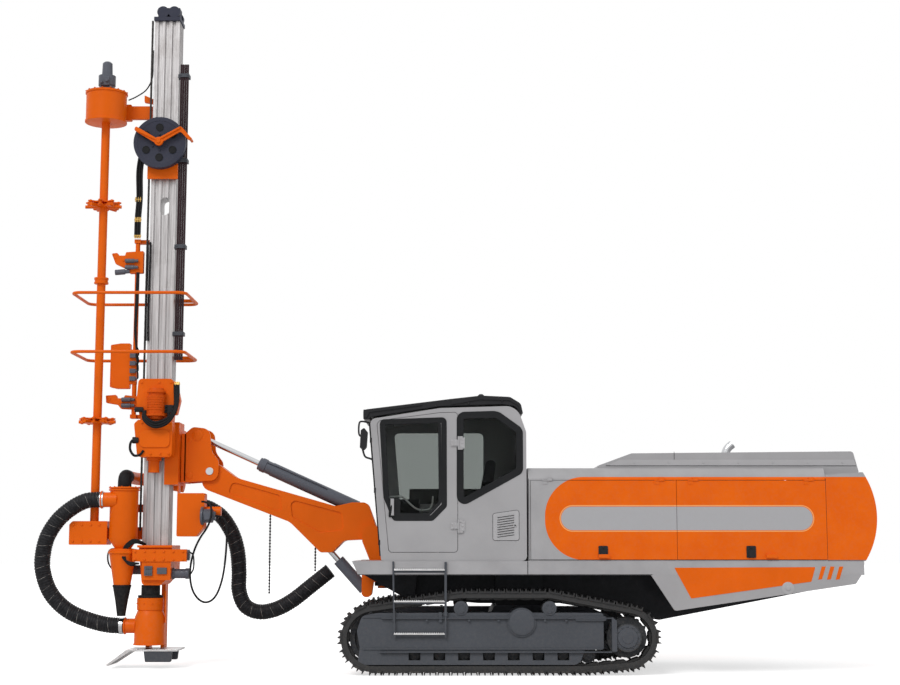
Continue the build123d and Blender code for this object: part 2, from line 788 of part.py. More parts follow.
with BuildPart() as seat:
    seat_floor = cab_floor + cab_wall + seat_gap
    block((20, 420), (-760, -400), (seat_floor, 1750))
    cushion = ((-120, 1750, 30), (-140, 1850, 40), (480, 1880, 30), (480, 1750, 20))
    slab(cushion, -840, -320)
    back = ((380, 1860, 30), (520, 2560, 50), (640, 2560, 50), (540, 1800, 30))
    slab(back, -820, -340)
finish(seat.part, "operator_seat")

with BuildPart() as console:
    block((-620, -300), (-900, -250), (seat_floor, 2080))
    block((-60, 420), (-1080, -900), (seat_floor, 1900))
finish(console.part, "control_console")

with BuildPart() as mirror:
    rod((cab_front(2300) - 12, cab_left_y + 40, 2300), (-1000, cab_left_y + 20, 2500), 14)
    block((-1060, -1000), (cab_left_y - 30, cab_left_y + 120), (2480, 2800))
finish(mirror.part, "cab_mirror")

with BuildPart() as ladder:
    for x in (-590.0, 27.0):
        block((x - 14, x + 14), (-half_width, -platform_half_width - seat_gap), (440, platform_top - 10))
    for z in (486.0, 860.0):
        block((-590, 27), (-half_width, -platform_half_width - seat_gap), (z - 16, z + 16))
finish(ladder.part, "step_ladder")

with BuildPart() as collector:
    block((-450, 900), (250, 1180), (platform_top + seat_gap, 2250))
finish(collector.part, "dust_collector")

# Boom base: a post that swings in the platform's front
with BuildPart() as base:
    post(swing_post_x, boom_y, swing_pin_radius, swing_lug_z[0][0] - 30, swing_lug_z[1][1] + 5)
    post(swing_post_x, boom_y, lug_radius, swing_lug_z[0][1] + seat_gap, swing_lug_z[1][0] - seat_gap)
    ears = (
        (swing_post_x + 110, swing_lug_z[1][1] + seat_gap, 0),
        (swing_post_x + 90, 1500, 60),
        (boom_foot[0] + 90, boom_foot[1] + 90, 88),
        (boom_foot[0] - 90, boom_foot[1] + 90, 88),
        (boom_foot[0] - 90, boom_foot[1] - 120, 88),
        (swing_post_x - 110, swing_lug_z[1][1] + seat_gap, 0),
    )
    slab(ears, boom_y - boom_half_width - 50, boom_y + boom_half_width + 50)
    block((-1300, -600), (boom_y - boom_half_width - move_gap, boom_y + boom_half_width + move_gap),
          (platform_top + 100, 1900), mode=Mode.SUBTRACT)
    pin(boom_foot, foot_pin_radius, boom_y - boom_half_width - 30, boom_y + boom_half_width + 30)
    foot = (
        (swing_post_x, swing_lug_z[1][0] - seat_gap, 0),
        (lift_barrel_pin[0] - 60, swing_lug_z[1][0] - seat_gap, 30),
        (lift_barrel_pin[0] - 62, lift_barrel_pin[1] - 62, 60),
        (lift_barrel_pin[0] + 62, lift_barrel_pin[1] - 62, 60),
        (swing_post_x - lug_radius - 12, swing_lug_z[0][1] + seat_gap, 0),
        (swing_post_x, swing_lug_z[0][1] + seat_gap, 0),
    )
    slab(foot, boom_y - 130, boom_y + 130)
    block((-1200, swing_post_x - lug_radius), (boom_y - 82, boom_y + 82), (800, 1200), mode=Mode.SUBTRACT)
    pin(lift_barrel_pin, cylinder_pin_radius, boom_y - 100, boom_y + 100)
finish(base.part, "boom_base")

# Boom arm
boom_outline = (
    (boom_foot[0] + 90, boom_foot[1] - 90, 80),
    (boom_foot[0] + 90, boom_foot[1] + 60, 60),
    (dump_barrel_pin[0] + 90, dump_barrel_pin[1] + 90, 80),
    (dump_barrel_pin[0] - 110, dump_barrel_pin[1] + 90, 80),
    (-1400, 2010, 80),
    (boom_tip[0] + 60, boom_tip[1] + 110, 80),
    (boom_tip[0] - 100, boom_tip[1] + 60, 90),
    (boom_tip[0] - 60, boom_tip[1] - 110, 80),
    (-1900, 1880, 200),
    (lift_rod_pin[0] - 120, lift_rod_pin[1] + 120, 60),
    (lift_rod_pin[0] - 90, lift_rod_pin[1] - 70, 70),
    (lift_rod_pin[0] + 80, lift_rod_pin[1] - 70, 70),
    (-1300, 1640, 100),
)
boom_low_y = boom_y - boom_half_width
boom_high_y = boom_y + boom_half_width
# Hose that hangs under the boom: its y, and the x and z of its corners
hose_radius = 95.0
boom_hose_y = 790.0
boom_hose_corners = (
    (-3250.0, 2050.0),
    (-2980.0, 1700.0),
    (-2900.0, 1200.0),
    (-2560.0, 830.0),
    (-2050.0, 900.0),
    (-1500.0, 1250.0),
)
hanger_radius = 16.0
hanger_places = ((-2300.0, 2180.0), (-1700.0, 1900.0))


def boom_hose_top(x):
    """Height of a hanger's foot that rests on the straight of the hose at x."""
    for start, end in zip(boom_hose_corners[:-1], boom_hose_corners[1:]):
        if start[0] <= x <= end[0]:
            slope = (end[1] - start[1]) / (end[0] - start[0])
            centre = start[1] + slope * (x - start[0])
            return centre + hose_radius * math.hypot(1, slope) + abs(slope) * hanger_radius + seat_gap
    raise ValueError("no hose at this x")


with BuildPart() as boom:
    slab(boom_outline, boom_low_y, boom_high_y)
    # Slots for the two cylinders between the boom's cheeks
    block((-1420, -900), (boom_y - 100, boom_y + 100), (1860, 2200), mode=Mode.SUBTRACT)
    block((-1720, -1350), (boom_y - 82, boom_y + 82), (1350, 1660), mode=Mode.SUBTRACT)
    pin(dump_barrel_pin, cylinder_pin_radius, boom_low_y + 5, boom_high_y - 5)
    pin(boom_foot, foot_pin_radius + pin_gap, boom_low_y - 5, boom_high_y + 5, mode=Mode.SUBTRACT)
    pin(boom_tip, foot_pin_radius, boom_low_y - 40, boom_high_y + 40)
    # Recessed panels in both sides
    for y_low, y_high in ((boom_low_y - 5, boom_low_y + 14), (boom_high_y - 14, boom_high_y + 5)):
        panel = ((-2850, 2310, 40), (-2780, 2480, 40), (-2150, 2250, 60), (-2200, 2060, 60))
        slab(panel, y_low, y_high, mode=Mode.SUBTRACT)
    # Hangers of the suction hose on the boom's right side
    for x, z in hanger_places:
        block((x - 25, x + 25), (boom_high_y - 20, boom_hose_y + 20), (z - 20, z + 20))
        post(x, boom_hose_y, hanger_radius, boom_hose_top(x), z)
finish(boom.part, "boom_arm")


def along(start, end, distance):
    """Point at a distance from start towards end, both x, z places."""
    length = math.hypot(end[0] - start[0], end[1] - start[1])
    share = distance / length
    return (start[0] + (end[0] - start[0]) * share, start[1] + (end[1] - start[1]) * share)


def in_boom_plane(place):
    """Put an x, z place into the boom's middle plane."""
    return (place[0], boom_y, place[1])


def cylinder_barrel(start, end, barrel_length, radius, rod_radius, eye_half):
    """Barrel with its eye at start, pointing at end, hollow where the rod enters."""
    pin(start, radius * 0.75, boom_y - eye_half, boom_y + eye_half)
    near = along(start, end, radius * 0.6)
    far = along(start, end, barrel_length)
    rod(in_boom_plane(near), in_boom_plane(far), radius)
    bore_start = along(start, end, radius * 1.3)
    rod(in_boom_plane(bore_start), in_boom_plane(along(start, end, barrel_length + 5)), rod_radius + seat_gap,
        mode=Mode.SUBTRACT)


dump_reach = math.dist(dump_barrel_pin, dump_rod_pin)
dump_barrel_length = 1280.0
dump_insertion = 760.0
lift_reach = math.dist(lift_barrel_pin, lift_rod_pin)
lift_barrel_length = 550.0

with BuildPart() as dump_barrel:
    cylinder_barrel(dump_barrel_pin, dump_rod_pin, dump_barrel_length, 90, 36, 60)
    pin(dump_barrel_pin, cylinder_pin_radius + pin_gap, boom_y - 95, boom_y + 95, mode=Mode.SUBTRACT)
finish(dump_barrel.part, "dump_cylinder_barrel")

with BuildPart() as dump_rod:
    start = along(dump_barrel_pin, dump_rod_pin, dump_barrel_length - 420)
    rod(in_boom_plane(start), in_boom_plane(dump_rod_pin), 36)
    pin(dump_rod_pin, 60, boom_y - 45, boom_y + 45)
finish(dump_rod.part, "dump_cylinder_rod")

with BuildPart() as lift_barrel:
    cylinder_barrel(lift_barrel_pin, lift_rod_pin, lift_barrel_length, 75, 36, 55)
    pin(lift_barrel_pin, cylinder_pin_radius + pin_gap, boom_y - 95, boom_y + 95, mode=Mode.SUBTRACT)
finish(lift_barrel.part, "lift_cylinder_barrel")

with BuildPart() as lift_rod:
    start = along(lift_barrel_pin, lift_rod_pin, 243)
    rod(in_boom_plane(start), in_boom_plane(lift_rod_pin), 36)
    pin(lift_rod_pin, 52, boom_y - 45, boom_y + 45)
finish(lift_rod.part, "lift_cylinder_rod")

# Bracket at the boom's tip, which tilts with the feed
bracket_face_x = -3400.0
with BuildPart() as bracket:
    cheeks_outline = (
        (boom_tip[0] + 110, boom_tip[1] - 120, 110),
        (boom_tip[0] + 120, boom_tip[1] + 130, 110),
        (dump_rod_pin[0] + 110, dump_rod_pin[1] + 60, 80),
        (dump_rod_pin[0] - 60, dump_rod_pin[1] + 100, 80),
        (bracket_face_x + 40, 2960, 40),
        (bracket_face_x + 40, 2330, 40),
        (boom_tip[0] - 130, boom_tip[1] - 130, 110),
    )
    for side in (-1, 1):
        inner = boom_y + side * (boom_half_width + move_gap)
        outer = boom_y + side * (boom_half_width + move_gap + 40)
        slab(cheeks_outline, min(inner, outer), max(inner, outer))
    pin(boom_tip, foot_pin_radius + pin_gap, boom_y - 300, boom_y + 300, mode=Mode.SUBTRACT)
    block((bracket_face_x, bracket_face_x + 60), (boom_y - 216, boom_y + 216), (2330, 2960))
    rod((bracket_face_x - 10, boom_y, cradle_z), (bracket_face_x + 60, boom_y, cradle_z), 180)
finish(bracket.part, "feed_bracket")

# Cradle: turns on the bracket and holds the feed beam, which slides in it
beam_front_x = beam_x - beam_width / 2
beam_rear_x = beam_x + beam_width / 2
beam_low_y = beam_y - beam_depth / 2
beam_high_y = beam_y + beam_depth / 2
guide = 45.0
cradle_rear_x = bracket_face_x - 10 - seat_gap

with BuildPart() as cradle:
    block((beam_rear_x - 60, cradle_rear_x), (beam_low_y - guide, beam_high_y + guide),
          (cradle_z - cradle_half_height, cradle_z + cradle_half_height))
    block((beam_rear_x - 70, beam_rear_x + seat_gap), (beam_low_y - seat_gap, beam_high_y + seat_gap),
          (2000, 3400), mode=Mode.SUBTRACT)
    block((cradle_rear_x - 50, cradle_rear_x), (boom_y - 220, boom_y + 200), (2380, 3020))
    block((cradle_rear_x - 14, cradle_rear_x), (150, 300), (2060, 2400))
finish(cradle.part, "feed_cradle")

# Feed beam: an aluminium profile with grooved sides
groove_depth = 26.0
groove_heights = (70.0, 150.0, 230.0)
with BuildPart() as beam:
    block((beam_front_x, beam_rear_x), (beam_low_y, beam_high_y), (beam_bottom, beam_top))
    # Grooves down the faces
    for y in (beam_low_y + 60, beam_y, beam_high_y - 60):
        for x_low, x_high in ((beam_front_x - 1, beam_front_x + groove_depth),
                              (beam_rear_x - groove_depth, beam_rear_x + 1)):
            block((x_low, x_high), (y - 22, y + 22), (beam_bottom - 1, beam_top + 1), mode=Mode.SUBTRACT)
    for x in (beam_x - 92, beam_x, beam_x + 92):
        block((x - 26, x + 26), (beam_low_y - 1, beam_low_y + groove_depth), (beam_bottom - 1, beam_top + 1),
              mode=Mode.SUBTRACT)
    # Long hole through the web
    with BuildSketch(Plane.XZ.offset(-(beam_low_y - 5))) as hole:
        with Locations((beam_x + 20, 5950)):
            SlotOverall(240, 110, rotation=90)
    extrude(to_extrude=hole.sketch, amount=-(beam_depth + 10), mode=Mode.SUBTRACT)
finish(beam.part, "feed_beam")

with BuildPart() as crown:
    block((beam_front_x - 10, beam_rear_x + 10), (beam_low_y - 30, beam_high_y + 30), (beam_top + seat_gap, 8520))
    for x in (beam_x - 60, beam_x + 90):
        pin((x, 8590), 78, beam_low_y - 20, beam_low_y + 60)
        pin((x, 8590), 78, beam_high_y - 60, beam_high_y + 20)
    block((beam_x - 140, beam_x + 150), (beam_low_y + 70, beam_high_y - 70), (8515, crown_top))
    pin((beam_x - 60, 8590), 30, beam_low_y - 20, beam_high_y + 20)
    pin((beam_x + 90, 8590), 30, beam_low_y - 20, beam_high_y + 20)
finish(crown.part, "feed_crown")

# Feed chain in front of the beam's outer corner
with BuildPart() as chain:
    block((beam_front_x - 46, beam_front_x - seat_gap), (beam_low_y + 4, beam_low_y + 44), (1700, 8460))
finish(chain.part, "feed_chain")

# Hose band down the beam's rear corner
with BuildPart() as band:
    for x in (-3474.0, -3434.0):
        post(x, 95, 18, 3900, 7900)
    for z in (4250.0, 5400.0, 6550.0, 7700.0):
        block((-3494, -3412), (76, beam_low_y + 30), (z - 25, z + 25))
        block((beam_rear_x + seat_gap, -3412), (beam_low_y + 4, beam_low_y + 60), (z - 25, z + 25))
finish(band.part, "feed_hoses")

# Foot of the feed: breakout table, suction hood and foot plate under the beam
table_low = 1030.0
table_x = (-3850.0, -3430.0)
with BuildPart() as table:
    table_outline = (
        (table_x[0], beam_bottom - seat_gap, 20),
        (table_x[1], beam_bottom - seat_gap, 20),
        (table_x[1], 1180, 20),
        (-3560, table_low, 60),
        (-3800, table_low, 60),
    )
    slab(table_outline, drill_y - 190, beam_high_y + 40)
    post(drill_x, drill_y, 95, table_low - 5, beam_bottom + 5, mode=Mode.SUBTRACT)
    # Jaw cylinders across the table
    for z in (1420.0, 1200.0):
        rod((table_x[1] - 5, drill_y - 60, z), (table_x[1] + 210, drill_y - 60, z), 58)
        rod((table_x[0] + 60, drill_y + 190, z), (table_x[0] - 300, drill_y + 190, z), 52)
    # Legs down to the foot
    block((beam_x - 110, beam_x - 60), (beam_y - 40, beam_high_y), (240, table_low + 5))
    block((beam_x + 80, beam_x + 130), (beam_y - 40, beam_high_y), (240, table_low + 5))
finish(table.part, "breakout_table")

with BuildPart() as dust_hood:
    post(drill_x, drill_y, 190, 300, 700)
    post(drill_x, drill_y, 150, 700, 870)
    post(drill_x, drill_y, 165, 290, 680, mode=Mode.SUBTRACT)
    post(drill_x, drill_y, 100, 670, 880, mode=Mode.SUBTRACT)
    rod((drill_x - 180, drill_y, 520), (drill_x - 330, drill_y, 520), hose_radius - 8)
finish(dust_hood.part, "suction_hood")

with BuildPart() as foot_part:
    block((drill_x - 270, drill_x + 260), (drill_y - 260, beam_high_y), (200, 240 - seat_gap))
    post(drill_x, drill_y, 130, 190, 250, mode=Mode.SUBTRACT)
    block((drill_x - 90, drill_x + 120), (drill_y - 230, drill_y - 150), (30, 200))
    block((drill_x - 90, drill_x + 120), (beam_high_y - 120, beam_high_y - 40), (30, 200))
finish(foot_part.part, "foot_plate")

# Cyclone that takes the cuttings out of the suction air
cyclone_x = -4066.0
cyclone_y = -30.0
inlet_y = -125.0
with BuildPart() as cyclone:
    post(cyclone_x, cyclone_y, 175, 1880, 2230)
    with BuildSketch(Plane.XZ.offset(-cyclone_y)) as cone:
        Polygon((cyclone_x, 940), (cyclone_x + 75, 940), (cyclone_x + 175, 1885), (cyclone_x, 1885))
    revolve(axis=Axis((cyclone_x, cyclone_y, 0), (0, 0, 1)))
    rod((cyclone_x - 60, inlet_y, 2100), (cyclone_x - 280, inlet_y, 2100), hose_radius - 8)
    post(cyclone_x, cyclone_y, 70, 640, 945)
    # Outlet pipe: up, back past the beam and on towards the machine
    with BuildLine() as outlet:
        FilletPolyline(
            (cyclone_x, cyclone_y, 2225), (cyclone_x, cyclone_y, 2400), (cyclone_x, 760, 2400),
            (-3440, 760, 2300), radius=[110, 180])
    with BuildSketch(Plane(origin=(cyclone_x, cyclone_y, 2225), z_dir=(0, 0, 1))):
        Circle(hose_radius - 15)
    sweep(path=outlet.line)
    block((cyclone_x - 40, cyclone_x + 60), (cyclone_y + 140, beam_y), (1950, 2050))
    block((cyclone_x - 40, beam_front_x - seat_gap), (beam_y - 80, beam_y), (1950, 2050))
finish(cyclone.part, "cyclone")

# Hose loop from the suction hood round to the cyclone
loop_left = -half_length + hose_radius
with BuildPart() as loop_hose:
    with BuildLine() as loop_path:
        FilletPolyline(
            (cyclone_x - 280 - seat_gap, inlet_y, 2100), (-4800, inlet_y, 2100), (loop_left, -120, 1650),
            (loop_left, 0, 1150), (-4850, 40, 640), (-4500, drill_y, 520),
            (drill_x - 330 - seat_gap, drill_y, 520), radius=[280, 330, 330, 330, 260])
    with BuildSketch(Plane(origin=loop_path.line @ 0, z_dir=loop_path.line % 0)):
        Circle(hose_radius)
    sweep(path=loop_path.line)
finish(loop_hose.part, "suction_hose")

# Hose that hangs under the boom, on its way to the dust collector
with BuildPart() as boom_hose:
    with BuildLine() as boom_path:
        FilletPolyline(
            *[(x, boom_hose_y, z) for x, z in boom_hose_corners], radius=[250, 250, 300, 300])
    with BuildSketch(Plane(origin=boom_path.line @ 0, z_dir=boom_path.line % 0)):
        Circle(hose_radius)
    sweep(path=boom_path.line)
finish(boom_hose.part, "boom_hose")

# Drive box and its motor, on the cradle
with BuildPart() as drive:
    drive_front = cradle_rear_x + seat_gap
    drive_outline = (
        (drive_front, 2190, 20),
        (-3060, 2190, 20),
        (-3060, 1760, 60),
        (-3160, 1640, 30),
        (drive_front, 1640, 20),
    )
    slab(drive_outline, 60, 270)
    rod((-3070, 165, 1960), (-2860, 165, 1960), 60)
finish(drive.part, "drive_box")

# Guard hoops round the front of the feed
with BuildPart() as hoops:
    for z in (4710.0, 3955.0):
        with BuildLine() as hoop_path:
            FilletPolyline(
                (hoop_rear_x, hoop_left_y, z), (hoop_front_x, hoop_left_y, z),
                (hoop_front_x, hoop_right_y, z), (hoop_rear_x, hoop_right_y, z), radius=120, close=True)
        with BuildSketch(Plane(origin=hoop_path.line @ 0, z_dir=hoop_path.line % 0)):
            Circle(hoop_radius)
        sweep(path=hoop_path.line)
        rod((beam_rear_x + seat_gap, beam_y, z), (hoop_rear_x, beam_y, z), 24)
finish(hoops.part, "guard_hoops")

# Carousel: fixed drum and foot, and the rotor that holds spare rods
carousel_y = drill_y
drum_low = 7060.0
drum_high = 7440.0
carousel_foot = (1530.0, 1810.0)
with BuildPart() as magazine:
    post(carousel_x, carousel_y, 260, drum_low, drum_high)
    post(carousel_x, carousel_y, 245, drum_low - 5, drum_high - 20, mode=Mode.SUBTRACT)
    post(carousel_x, carousel_y, 110, drum_high - 5, 7870)
    block((carousel_x - 70, beam_front_x - seat_gap), (carousel_y + 160, carousel_y + 260), (7500, 7640))
    block((carousel_x - 60, carousel_x + 100), (carousel_y - 50, carousel_y + 260), (7490, 7650))
    block((carousel_x - 260, carousel_x + 195), (carousel_y - 130, carousel_y + 130), carousel_foot)
    block((carousel_x + 100, beam_front_x - seat_gap), (carousel_y + 180, carousel_y + 260), (1600, 1760))
    block((carousel_x + 60, carousel_x + 190), (carousel_y + 100, carousel_y + 260), (1600, 1760))
finish(magazine.part, "carousel_frame")

with BuildPart() as rotor:
    post(carousel_x, carousel_y, 55, carousel_foot[1] + seat_gap, drum_high - 20 - seat_gap)
    for z in (5915.0, 3100.0):
        for arm in range(6):
            angle = 60 * arm
            tip = (carousel_x + 235 * math.cos(math.radians(angle)), carousel_y + 235 * math.sin(math.radians(angle)))
            rod((carousel_x, carousel_y, z), (tip[0], tip[1], z), 22)
    post(carousel_x, carousel_y, 85, 4910, 4960)
finish(rotor.part, "carousel_rotor")

# Gripper arms that carry a rod from the carousel to the drill axis
gripper_x = -4020.0
gripper_y = 190.0
with BuildPart() as grippers:
    post(gripper_x, gripper_y, 30, 3205 + seat_gap, 5455 - seat_gap)
    for z in (5240.0, 3380.0):
        block((gripper_x - 200, gripper_x + 20), (gripper_y - 40, gripper_y + 40), (z - 60, z + 60))
    block((gripper_x - 110, gripper_x + 30), (gripper_y - 50, gripper_y + 50), (3600, 4050))
finish(grippers.part, "gripper_arms")

with BuildPart() as gripper_mounts:
    for z in (5480.0, 3180.0):
        block((gripper_x - 40, gripper_x + 40), (gripper_y - 40, gripper_y + 90), (z - 25, z + 25))
        block((gripper_x - 40, beam_front_x - seat_gap), (gripper_y + 10, gripper_y + 90), (z - 25, z + 25))
finish(gripper_mounts.part, "gripper_brackets")

# Rotation head, which slides along the feed beam
with BuildPart() as head:
    block((-3966, -3510), (-180, 80), (head_bottom, 3010))
    block((-3900, -3520), (-150, 80), (3000, 3640))
    for z in (head_bottom + 60, head_top - 200):
        block((beam_x - 120, beam_x + 80), (75, beam_low_y - seat_gap), (z, z + 140))
    block((drill_x - 85, drill_x + 85), (70, 125), (head_bottom, head_bottom + 60))
    post(drill_x, drill_y, 70, head_bottom - 160, head_bottom + 10)
finish(head.part, "rotation_head")

# Hose reel and its carriage near the top of the feed
with BuildPart() as reel:
    pin((-3729, reel_z), reel_radius, -40, 60)
    pin((-3729, reel_z), reel_radius - 50, -45, -10, mode=Mode.SUBTRACT)
    for hole in range(6):
        angle = math.radians(60 * hole + 30)
        place = (-3729 + 190 * math.cos(angle), reel_z + 190 * math.sin(angle))
        pin(place, 70, -50, 70, mode=Mode.SUBTRACT)
    pin((-3729, reel_z), 60, -60, 70)
    pin((-3729, reel_z), 25 + pin_gap, -10, 75, mode=Mode.SUBTRACT)
finish(reel.part, "hose_reel")

with BuildPart() as carriage:
    block((-3900, -3500), (75, beam_low_y - 40), (6300, 6500))
    slab(((-3900, 6450, 0), (-3500, 6450, 0), (-3680, 6830, 0), (-3780, 6830, 0)), 75, beam_low_y - 40)
    pin((-3729, reel_z), 25, 10, 80)
    for z in (6330.0, 6420.0):
        block((beam_x - 100, beam_x + 60), (105, beam_low_y - seat_gap), (z, z + 40))
finish(carriage.part, "reel_carriage")
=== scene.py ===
import math

import bmesh
import bpy
from mathutils import Matrix, Vector


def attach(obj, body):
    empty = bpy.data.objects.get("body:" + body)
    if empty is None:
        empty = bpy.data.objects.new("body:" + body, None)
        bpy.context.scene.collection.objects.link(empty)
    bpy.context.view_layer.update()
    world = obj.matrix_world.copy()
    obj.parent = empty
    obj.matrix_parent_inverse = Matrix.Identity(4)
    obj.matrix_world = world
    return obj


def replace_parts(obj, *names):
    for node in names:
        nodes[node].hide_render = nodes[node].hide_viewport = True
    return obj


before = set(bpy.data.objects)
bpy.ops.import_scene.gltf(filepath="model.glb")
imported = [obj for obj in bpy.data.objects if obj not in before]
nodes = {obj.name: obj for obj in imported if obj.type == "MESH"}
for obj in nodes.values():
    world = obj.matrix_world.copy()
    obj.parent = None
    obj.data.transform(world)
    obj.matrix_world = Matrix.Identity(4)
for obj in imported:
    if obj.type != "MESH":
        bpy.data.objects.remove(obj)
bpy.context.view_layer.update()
scene = bpy.context.scene

# Camera, at the photograph's place; lengths in metres, angles in degrees

camera_place = (0.074, -20.05, 1.5)
camera_tilt = 97.45
camera_lens = 62.72
camera_data = bpy.data.cameras.new("camera")
camera = bpy.data.objects.new("camera", camera_data)
scene.collection.objects.link(camera)
camera.location = camera_place
camera.rotation_euler = (math.radians(camera_tilt), 0, 0)
camera_data.sensor_width = 36
camera_data.lens = camera_lens
camera_data.clip_end = 500
scene.camera = camera
scene.view_settings.view_transform = "Standard"


# Materials

def linear(red, green, blue):
    """An sRGB colour of 0 to 255 as linear light."""
    def one(value):
        value /= 255
        return value / 12.92 if value <= 0.04045 else ((value + 0.055) / 1.055) ** 2.4
    return (one(red), one(green), one(blue), 1)


class Mat:
    """A node material with a Principled shader, built up by its helpers."""

    def __init__(self, name, colour, roughness=0.5, metallic=0.0, coat=0.0):
        self.mat = bpy.data.materials.new(name)
        self.mat.use_nodes = True
        self.tree = self.mat.node_tree
        self.shader = self.tree.nodes["Principled BSDF"]
        self.shader.inputs["Base Color"].default_value = colour
        self.shader.inputs["Roughness"].default_value = roughness
        self.shader.inputs["Metallic"].default_value = metallic
        self.shader.inputs["Coat Weight"].default_value = coat
        self.shader.inputs["Coat Roughness"].default_value = 0.12
        self.shader.inputs["Specular IOR Level"].default_value = 0.5 if metallic else 0.14
        coords = self.add("ShaderNodeTexCoord")
        self.place = coords.outputs["Object"]
        self.mat.diffuse_color = colour

    def add(self, kind, **values):
        """A new node with its settings."""
        node = self.tree.nodes.new(kind)
        for key, value in values.items():
            setattr(node, key, value)
        return node

    def join(self, source, target):
        self.tree.links.new(source, target)

    def math(self, kind, first, second=None, clamp=False):
        """One arithmetic step on numbers or outputs."""
        node = self.add("ShaderNodeMath", operation=kind, use_clamp=clamp)
        for socket, value in zip(node.inputs, (first, second)):
            if value is None:
                continue
            if isinstance(value, (int, float)):
                socket.default_value = value
            else:
                self.join(value, socket)
        return node.outputs[0]

    def stretch(self, scale):
        """The piece's own coordinates, scaled along each axis."""
        node = self.add("ShaderNodeMapping")
        node.inputs["Scale"].default_value = scale
        self.join(self.place, node.inputs["Vector"])
        return node.outputs[0]

    def noise(self, scale, detail=4.0, rough=0.55, place=None):
        node = self.add("ShaderNodeTexNoise")
        node.inputs["Scale"].default_value = scale
        node.inputs["Detail"].default_value = detail
        node.inputs["Roughness"].default_value = rough
        self.join(place or self.place, node.inputs["Vector"])
        return node.outputs["Fac"]

    def steps(self, fac, stops):
        """A ramp's colour for a factor; each stop is (position, colour)."""
        node = self.add("ShaderNodeValToRGB")
        ramp = node.color_ramp
        ramp.elements[0].position, ramp.elements[0].color = stops[0]
        ramp.elements[1].position, ramp.elements[1].color = stops[-1]
        for position, colour in stops[1:-1]:
            ramp.elements.new(position).color = colour
        self.join(fac, node.inputs[0])
        return node.outputs[0]

    def tones(self, fac, low, dark, high, light):
        """Two sRGB tones that a factor blends between low and high."""
        return self.steps(fac, ((low, linear(*dark)), (high, linear(*light))))

    def span(self, value, low, high, to_low=0.0, to_high=1.0):
        """A value's place between low and high, moved to another range."""
        node = self.add("ShaderNodeMapRange")
        for name, number in (("From Min", low), ("From Max", high), ("To Min", to_low), ("To Max", to_high)):
            node.inputs[name].default_value = number
        self.join(value, node.inputs["Value"])
        return node.outputs[0]

    def mix(self, fac, first, second, kind="MIX"):
        """Two colours blended by a factor."""
        node = self.add("ShaderNodeMix", data_type="RGBA", blend_type=kind)
        for socket, value in ((node.inputs[0], fac), (node.inputs[6], first), (node.inputs[7], second)):
            if isinstance(value, (int, float, tuple)):
                socket.default_value = value
            else:
                self.join(value, socket)
        return node.outputs[2]

    def axes(self):
        node = self.add("ShaderNodeSeparateXYZ")
        self.join(self.place, node.inputs[0])
        return node.outputs

    def colour(self, value):
        self.join(value, self.shader.inputs["Base Color"])

    def rough(self, value):
        self.join(value, self.shader.inputs["Roughness"])

    def bump(self, height, distance=0.002, strength=0.4):
        """Fine relief from a height; the distance is in metres."""
        node = self.add("ShaderNodeBump")
        node.inputs["Distance"].default_value = distance
        node.inputs["Strength"].default_value = strength
        self.join(height, node.inputs["Height"])
        self.join(node.outputs[0], self.shader.inputs["Normal"])


def worn(mat, colour, amount=0.25, dust=(150, 143, 132), low=0.0, high=1.4):
    """Fine colour variation, with dust that grows towards the ground and in patches."""
    dark = tuple(channel * 0.94 for channel in colour[:3]) + (1,)
    light = tuple(min(1, channel * 1.03 + 0.002) for channel in colour[:3]) + (1,)
    patches = mat.noise(2.2, 5)
    base = mat.steps(patches, ((0.32, dark), (0.7, light)))
    if amount:
        height = mat.span(mat.axes()[2], low, high, 1.0, 0.12)
        grit = mat.span(mat.noise(26, 8, 0.7), 0.44, 0.72)
        veil = mat.math("MULTIPLY", mat.math("MULTIPLY", grit, height), amount, clamp=True)
        base = mat.mix(veil, base, linear(*dust))
    mat.colour(base)
    rough = mat.shader.inputs["Roughness"].default_value
    mat.rough(mat.span(mat.noise(14, 5), 0.3, 0.7, rough - 0.06, rough + 0.1))
    return mat


def painted(name, colour, rough, amount, grain, depth, strength, dust=(150, 143, 132), high=1.4,
            metallic=0.0, coat=0.0):
    """A worn paint of an sRGB colour, with a fine grain of this depth and strength."""
    tone = linear(*colour)
    mat = worn(Mat(name, tone, rough, metallic, coat), tone, amount, dust, 0.0, high)
    mat.bump(mat.noise(*grain), depth, strength)
    return mat


ORANGE = (232, 100, 0)
GREY = (166, 165, 167)
MUD = (120, 112, 100)

# Each row: name, colour, roughness, share of dust, grain (scale, detail, roughness), its depth and strength
orange = painted("orange_paint", ORANGE, 0.4, 0.12, (420, 2), 0.0004, 0.25, coat=0.02)
panel_grey = painted("grey_panel_paint", GREY, 0.4, 0.12, (420, 2), 0.0004, 0.2, coat=0.2)
frame_dark = painted("dark_frame_paint", (78, 81, 87), 0.5, 0.1, (160, 4), 0.0006, 0.25)
chassis = painted("chassis_paint", (58, 60, 64), 0.55, 0.3, (60, 6), 0.0012, 0.3)
track_steel = painted("track_steel", (40, 40, 42), 0.55, 0.3, (45, 8, 0.7), 0.003, 0.6, MUD, 1.2,
                      metallic=0.4)
link_steel = painted("track_links", (46, 46, 47), 0.55, 0.15, (60, 6), 0.002, 0.5, MUD, 1.2, metallic=0.3)
orange_dark = painted("orange_castings", (214, 84, 0), 0.5, 0.25, (120, 5), 0.001, 0.3, (96, 80, 66), 6.0)
gasket = painted("black_gasket", (30, 31, 33), 0.6, 0.1, (420, 3), 0.0004, 0.3)
panel_light = painted("light_panel_paint", (176, 175, 177), 0.42, 0.1, (420, 2), 0.0004, 0.2)
reel_metal = painted("reel_metal", (56, 58, 72), 0.5, 0.2, (160, 4), 0.0008, 0.3)
lens = Mat("lamp_lens", linear(206, 208, 210), 0.12)
